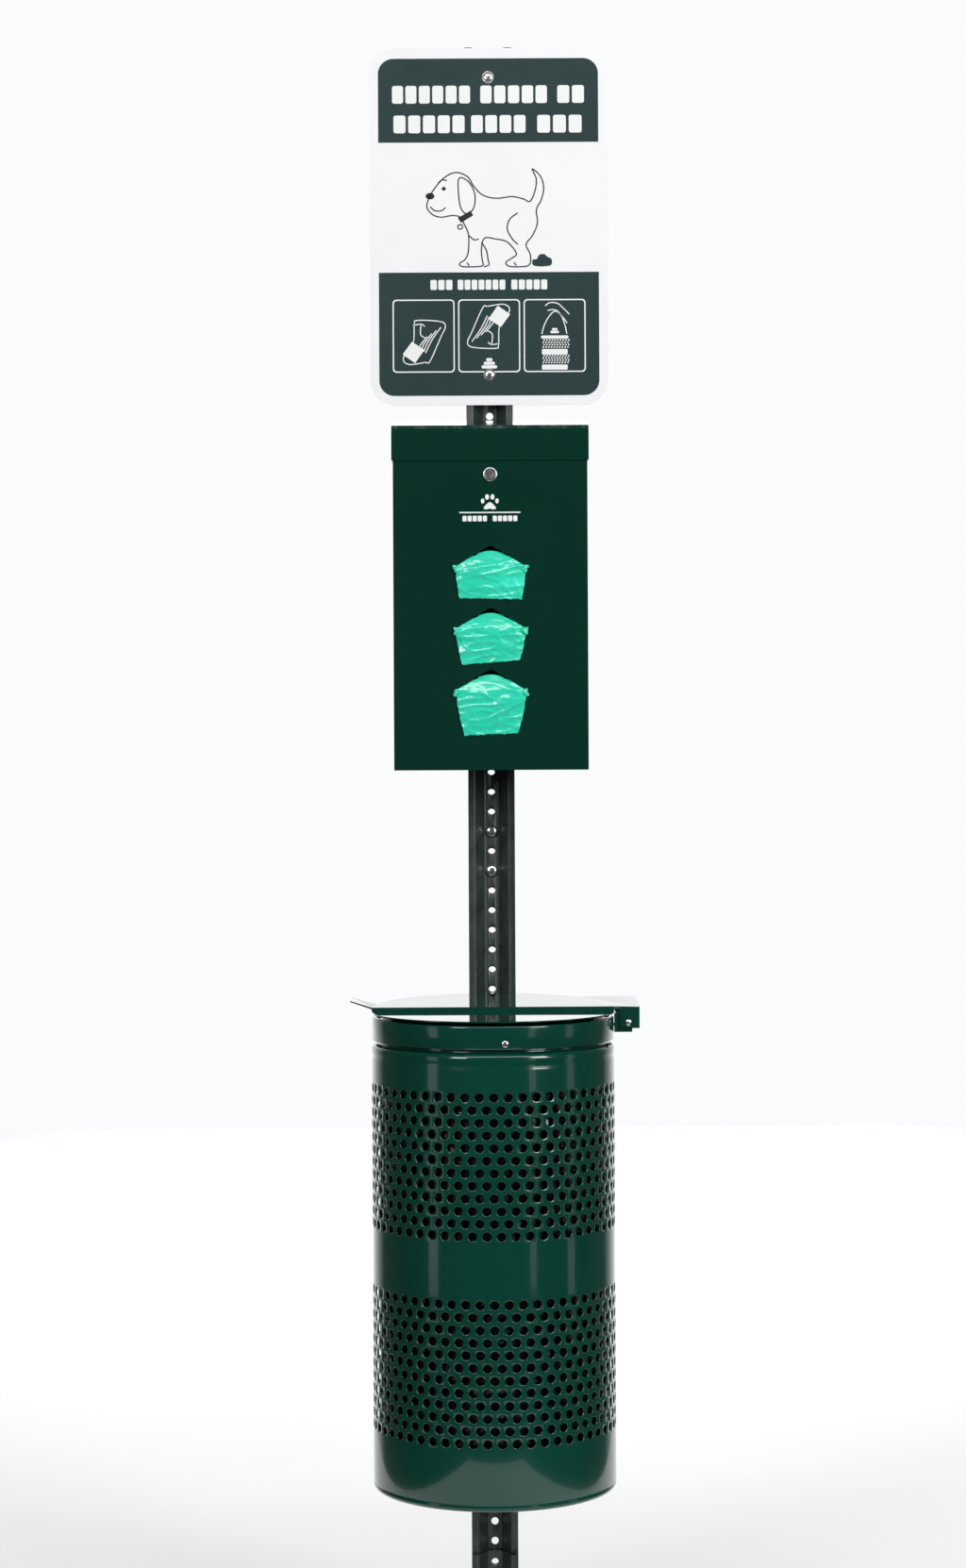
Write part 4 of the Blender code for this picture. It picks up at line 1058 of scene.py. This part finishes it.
def liner_bag():
    """The black waste bag inside the can: a thin crinkled cup, folded up and down its side."""
    low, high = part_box("bin_liner")
    radius = (high[0] - low[0]) / 2
    columns = 240
    rows = 150
    neck_share = 0.045
    wall_share = 0.93
    bm = bmesh.new()
    grid = []
    for row in range(rows + 1):
        share = row / rows
        ring = []
        for column in range(columns):
            angle = 2 * math.pi * column / columns
            z = high[2] - (high[2] - low[2]) * min(1.0, share / wall_share)
            reach = radius
            if share < neck_share:
                reach = radius - 0.0045 * (1 - share / neck_share)
            if share > wall_share:
                reach = radius * (1 - (share - wall_share) / (1 - wall_share)) + 0.0005
            turned_place = Vector((math.cos(angle), math.sin(angle), 0)) * 5.5
            slow = noise.noise(turned_place + Vector((0, 0, z * 9)))
            sharp = noise.noise(turned_place * 2.3 + Vector((z * 20, -z * 12, z * 31)))
            depth = 0.0016 * (slow + 1) + 0.0022 * (1 - min(1.0, abs(sharp) * 3.0))
            side = min(1.0, (1 - share) / (1 - wall_share)) if share > wall_share else 1.0
            inset = min(depth * side, 0.0052)
            lift = min(inset, 0.001) if share > wall_share else 0.0
            ring.append(bm.verts.new(can_point(angle, reach - inset, z + lift)))
        grid.append(ring)
    bridge(bm, grid)
    bm.faces.new(grid[-1])
    bag = mesh_piece("liner_bag", bm, LINER_FILM, ["bin_liner"])
    wall = bag.modifiers.new("film", "SOLIDIFY")
    wall.thickness = FILM_SHEET
    wall.offset = -1.0
    shade(bag, 60.0)


can_drum()
liner_bag()
collar()
repaint("bin_floor", CAN_ENAMEL)
repaint("hinge_bracket", CAN_ENAMEL, 0.0005)
repaint("bin_bracket_upper", POST_PAINT, 0.0005)
repaint("bin_bracket_lower", POST_PAINT, 0.0005)
for number, degrees in enumerate((5.4, 125.4, -114.6), start=1):
    angle = math.radians(degrees)
    outward = Vector((math.sin(angle), -math.cos(angle), 0.0))
    seat = Vector((0, CAN_Y, box_centre(f"collar_screw_{number}").z)) + outward * (CAN_RADIUS - 0.0003)
    phillips_screw(
        f"collar_phillips_{number}", f"collar_screw_{number}", 0.0042, 0.0020, 0.0020, seat, outward, CHROME
    )


# --- Lid ---


def hinge_rod():
    """The lid's hinge pin, with a low domed head at the front."""
    low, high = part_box("hinge_pin")
    centre = box_centre("hinge_pin")
    head = 0.0043
    height = 0.0022
    shank = 0.0025
    length = high[1] - low[1] - height
    steps = [0.5 * math.pi * (1 - s / 9) for s in range(10)]
    profile = [(0.0, height)] + [(head * math.cos(a), height * math.sin(a)) for a in steps[1:]]
    profile += [(shank, 0.0), (shank, -length), (0.0, -length)]
    bm = lathe_mesh(profile, 40, towards((centre.x, low[1] + height, centre.z), FORWARD))
    mesh_piece("hinge_rod", bm, CHROME, ["hinge_pin"], "lid")


hinge_rod()
repaint("bin_lid", LID_ENAMEL, 0.0004, 2, 30.0)


# --- Stage, light and camera ---

FLOOR_FRONT = -1.28
FLOOR_BACK = 5.4
FLOOR_FRONT_HALF = 0.50
FLOOR_BACK_HALF = 1.75
SKY_STRENGTH = 1.1
# Brightness by how far a direction points to the back: the first and last stops, then those between.
SKY_LEVELS = ((0.0, 0.03), (0.93, 1.0), (0.10, 0.03), (0.62, 0.07))


def stage():
    """A plain pale floor, narrow in front of the station and wide enough behind it to fill the view."""
    front = [(-FLOOR_FRONT_HALF, FLOOR_FRONT, 0.0), (FLOOR_FRONT_HALF, FLOOR_FRONT, 0.0)]
    back = [(FLOOR_BACK_HALF, FLOOR_BACK, 0.0), (-FLOOR_BACK_HALF, FLOOR_BACK, 0.0)]
    sheet = bpy.data.meshes.new("floor")
    sheet.from_pydata(front + back, [], [(0, 1, 2, 3)])
    floor = bpy.data.objects.new("floor", sheet)
    bpy.context.scene.collection.objects.link(floor)
    made, tree, shader = new_material("pale_floor")
    vary_colour(tree, shader, (0.72, 0.725, 0.735), (0.75, 0.755, 0.765), 0.8)
    shader.inputs["Roughness"].default_value = 0.8
    shader.inputs["Specular IOR Level"].default_value = 0.1
    floor.data.materials.append(made)


def sky():
    """A pale wall for the camera. The light is soft: strong from behind the station, faint from in front."""
    world = bpy.data.worlds.new("studio")
    world.use_nodes = True
    tree = world.node_tree
    place = tree.nodes.new("ShaderNodeTexCoord")
    split = tree.nodes.new("ShaderNodeSeparateXYZ")
    tree.links.new(place.outputs["Generated"], split.inputs["Vector"])
    light = tree.nodes["Background"]
    light.inputs["Strength"].default_value = SKY_STRENGTH
    levels = [(position, (level, level, level)) for position, level in SKY_LEVELS]
    colour_by(tree, split.outputs["Y"], light.inputs["Color"], *levels)
    wall = tree.nodes.new("ShaderNodeBackground")
    wall.inputs["Color"].default_value = (0.965, 0.97, 0.985, 1.0)
    rays = tree.nodes.new("ShaderNodeLightPath")
    seen = tree.nodes.new("ShaderNodeMixShader")
    tree.links.new(rays.outputs["Is Camera Ray"], seen.inputs["Fac"])
    tree.links.new(light.outputs["Background"], seen.inputs[1])
    tree.links.new(wall.outputs["Background"], seen.inputs[2])
    tree.links.new(seen.outputs["Shader"], tree.nodes["World Output"].inputs["Surface"])
    bpy.context.scene.world = world


def softbox(name, place, target, size, power):
    data = bpy.data.lights.new(name, "AREA")
    data.shape = "RECTANGLE"
    data.size, data.size_y = size
    data.energy = power
    light = bpy.data.objects.new(name, data)
    light.location = place
    light.visible_camera = False
    light.rotation_euler = (Vector(target) - Vector(place)).to_track_quat("-Z", "Y").to_euler()
    bpy.context.scene.collection.objects.link(light)


def camera():
    data = bpy.data.cameras.new("camera")
    data.sensor_width = 36.0
    data.lens = CAMERA_LENS
    data.shift_y = CAMERA_SHIFT
    view = bpy.data.objects.new("camera", data)
    view.location = CAMERA_PLACE
    view.rotation_euler = (math.pi / 2, CAMERA_ROLL, 0.0)
    bpy.context.scene.collection.objects.link(view)
    bpy.context.scene.camera = view


stage()
sky()
softbox("right_box", (2.2, -2.4, 2.0), (0, 0, 1.1), (0.9, 1.9), 54.0)
softbox("left_box", (-1.9, -3.1, 2.2), (0, 0, 1.1), (0.9, 1.5), 40.0)
softbox("high_box", (0.2, -2.6, 3.4), (0, 0, 1.2), (3.4, 0.6), 44.0)
softbox("rear_box", (0.0, 3.9, 3.4), (0, 3.8, 0), (4.5, 5.6), 290.0)
softbox("left_strip", (-2.2, -1.55, 0.80), (0, -0.15, 0.60), (0.45, 1.5), 1.5)
softbox("right_strip", (1.6, -2.35, 0.80), (0, -0.15, 0.60), (0.30, 1.5), 0.9)
softbox("side_strip", (2.3, -0.75, 0.80), (0, -0.15, 0.60), (0.34, 1.5), 0.8)
camera()

bpy.context.scene.view_settings.view_transform = "Standard"
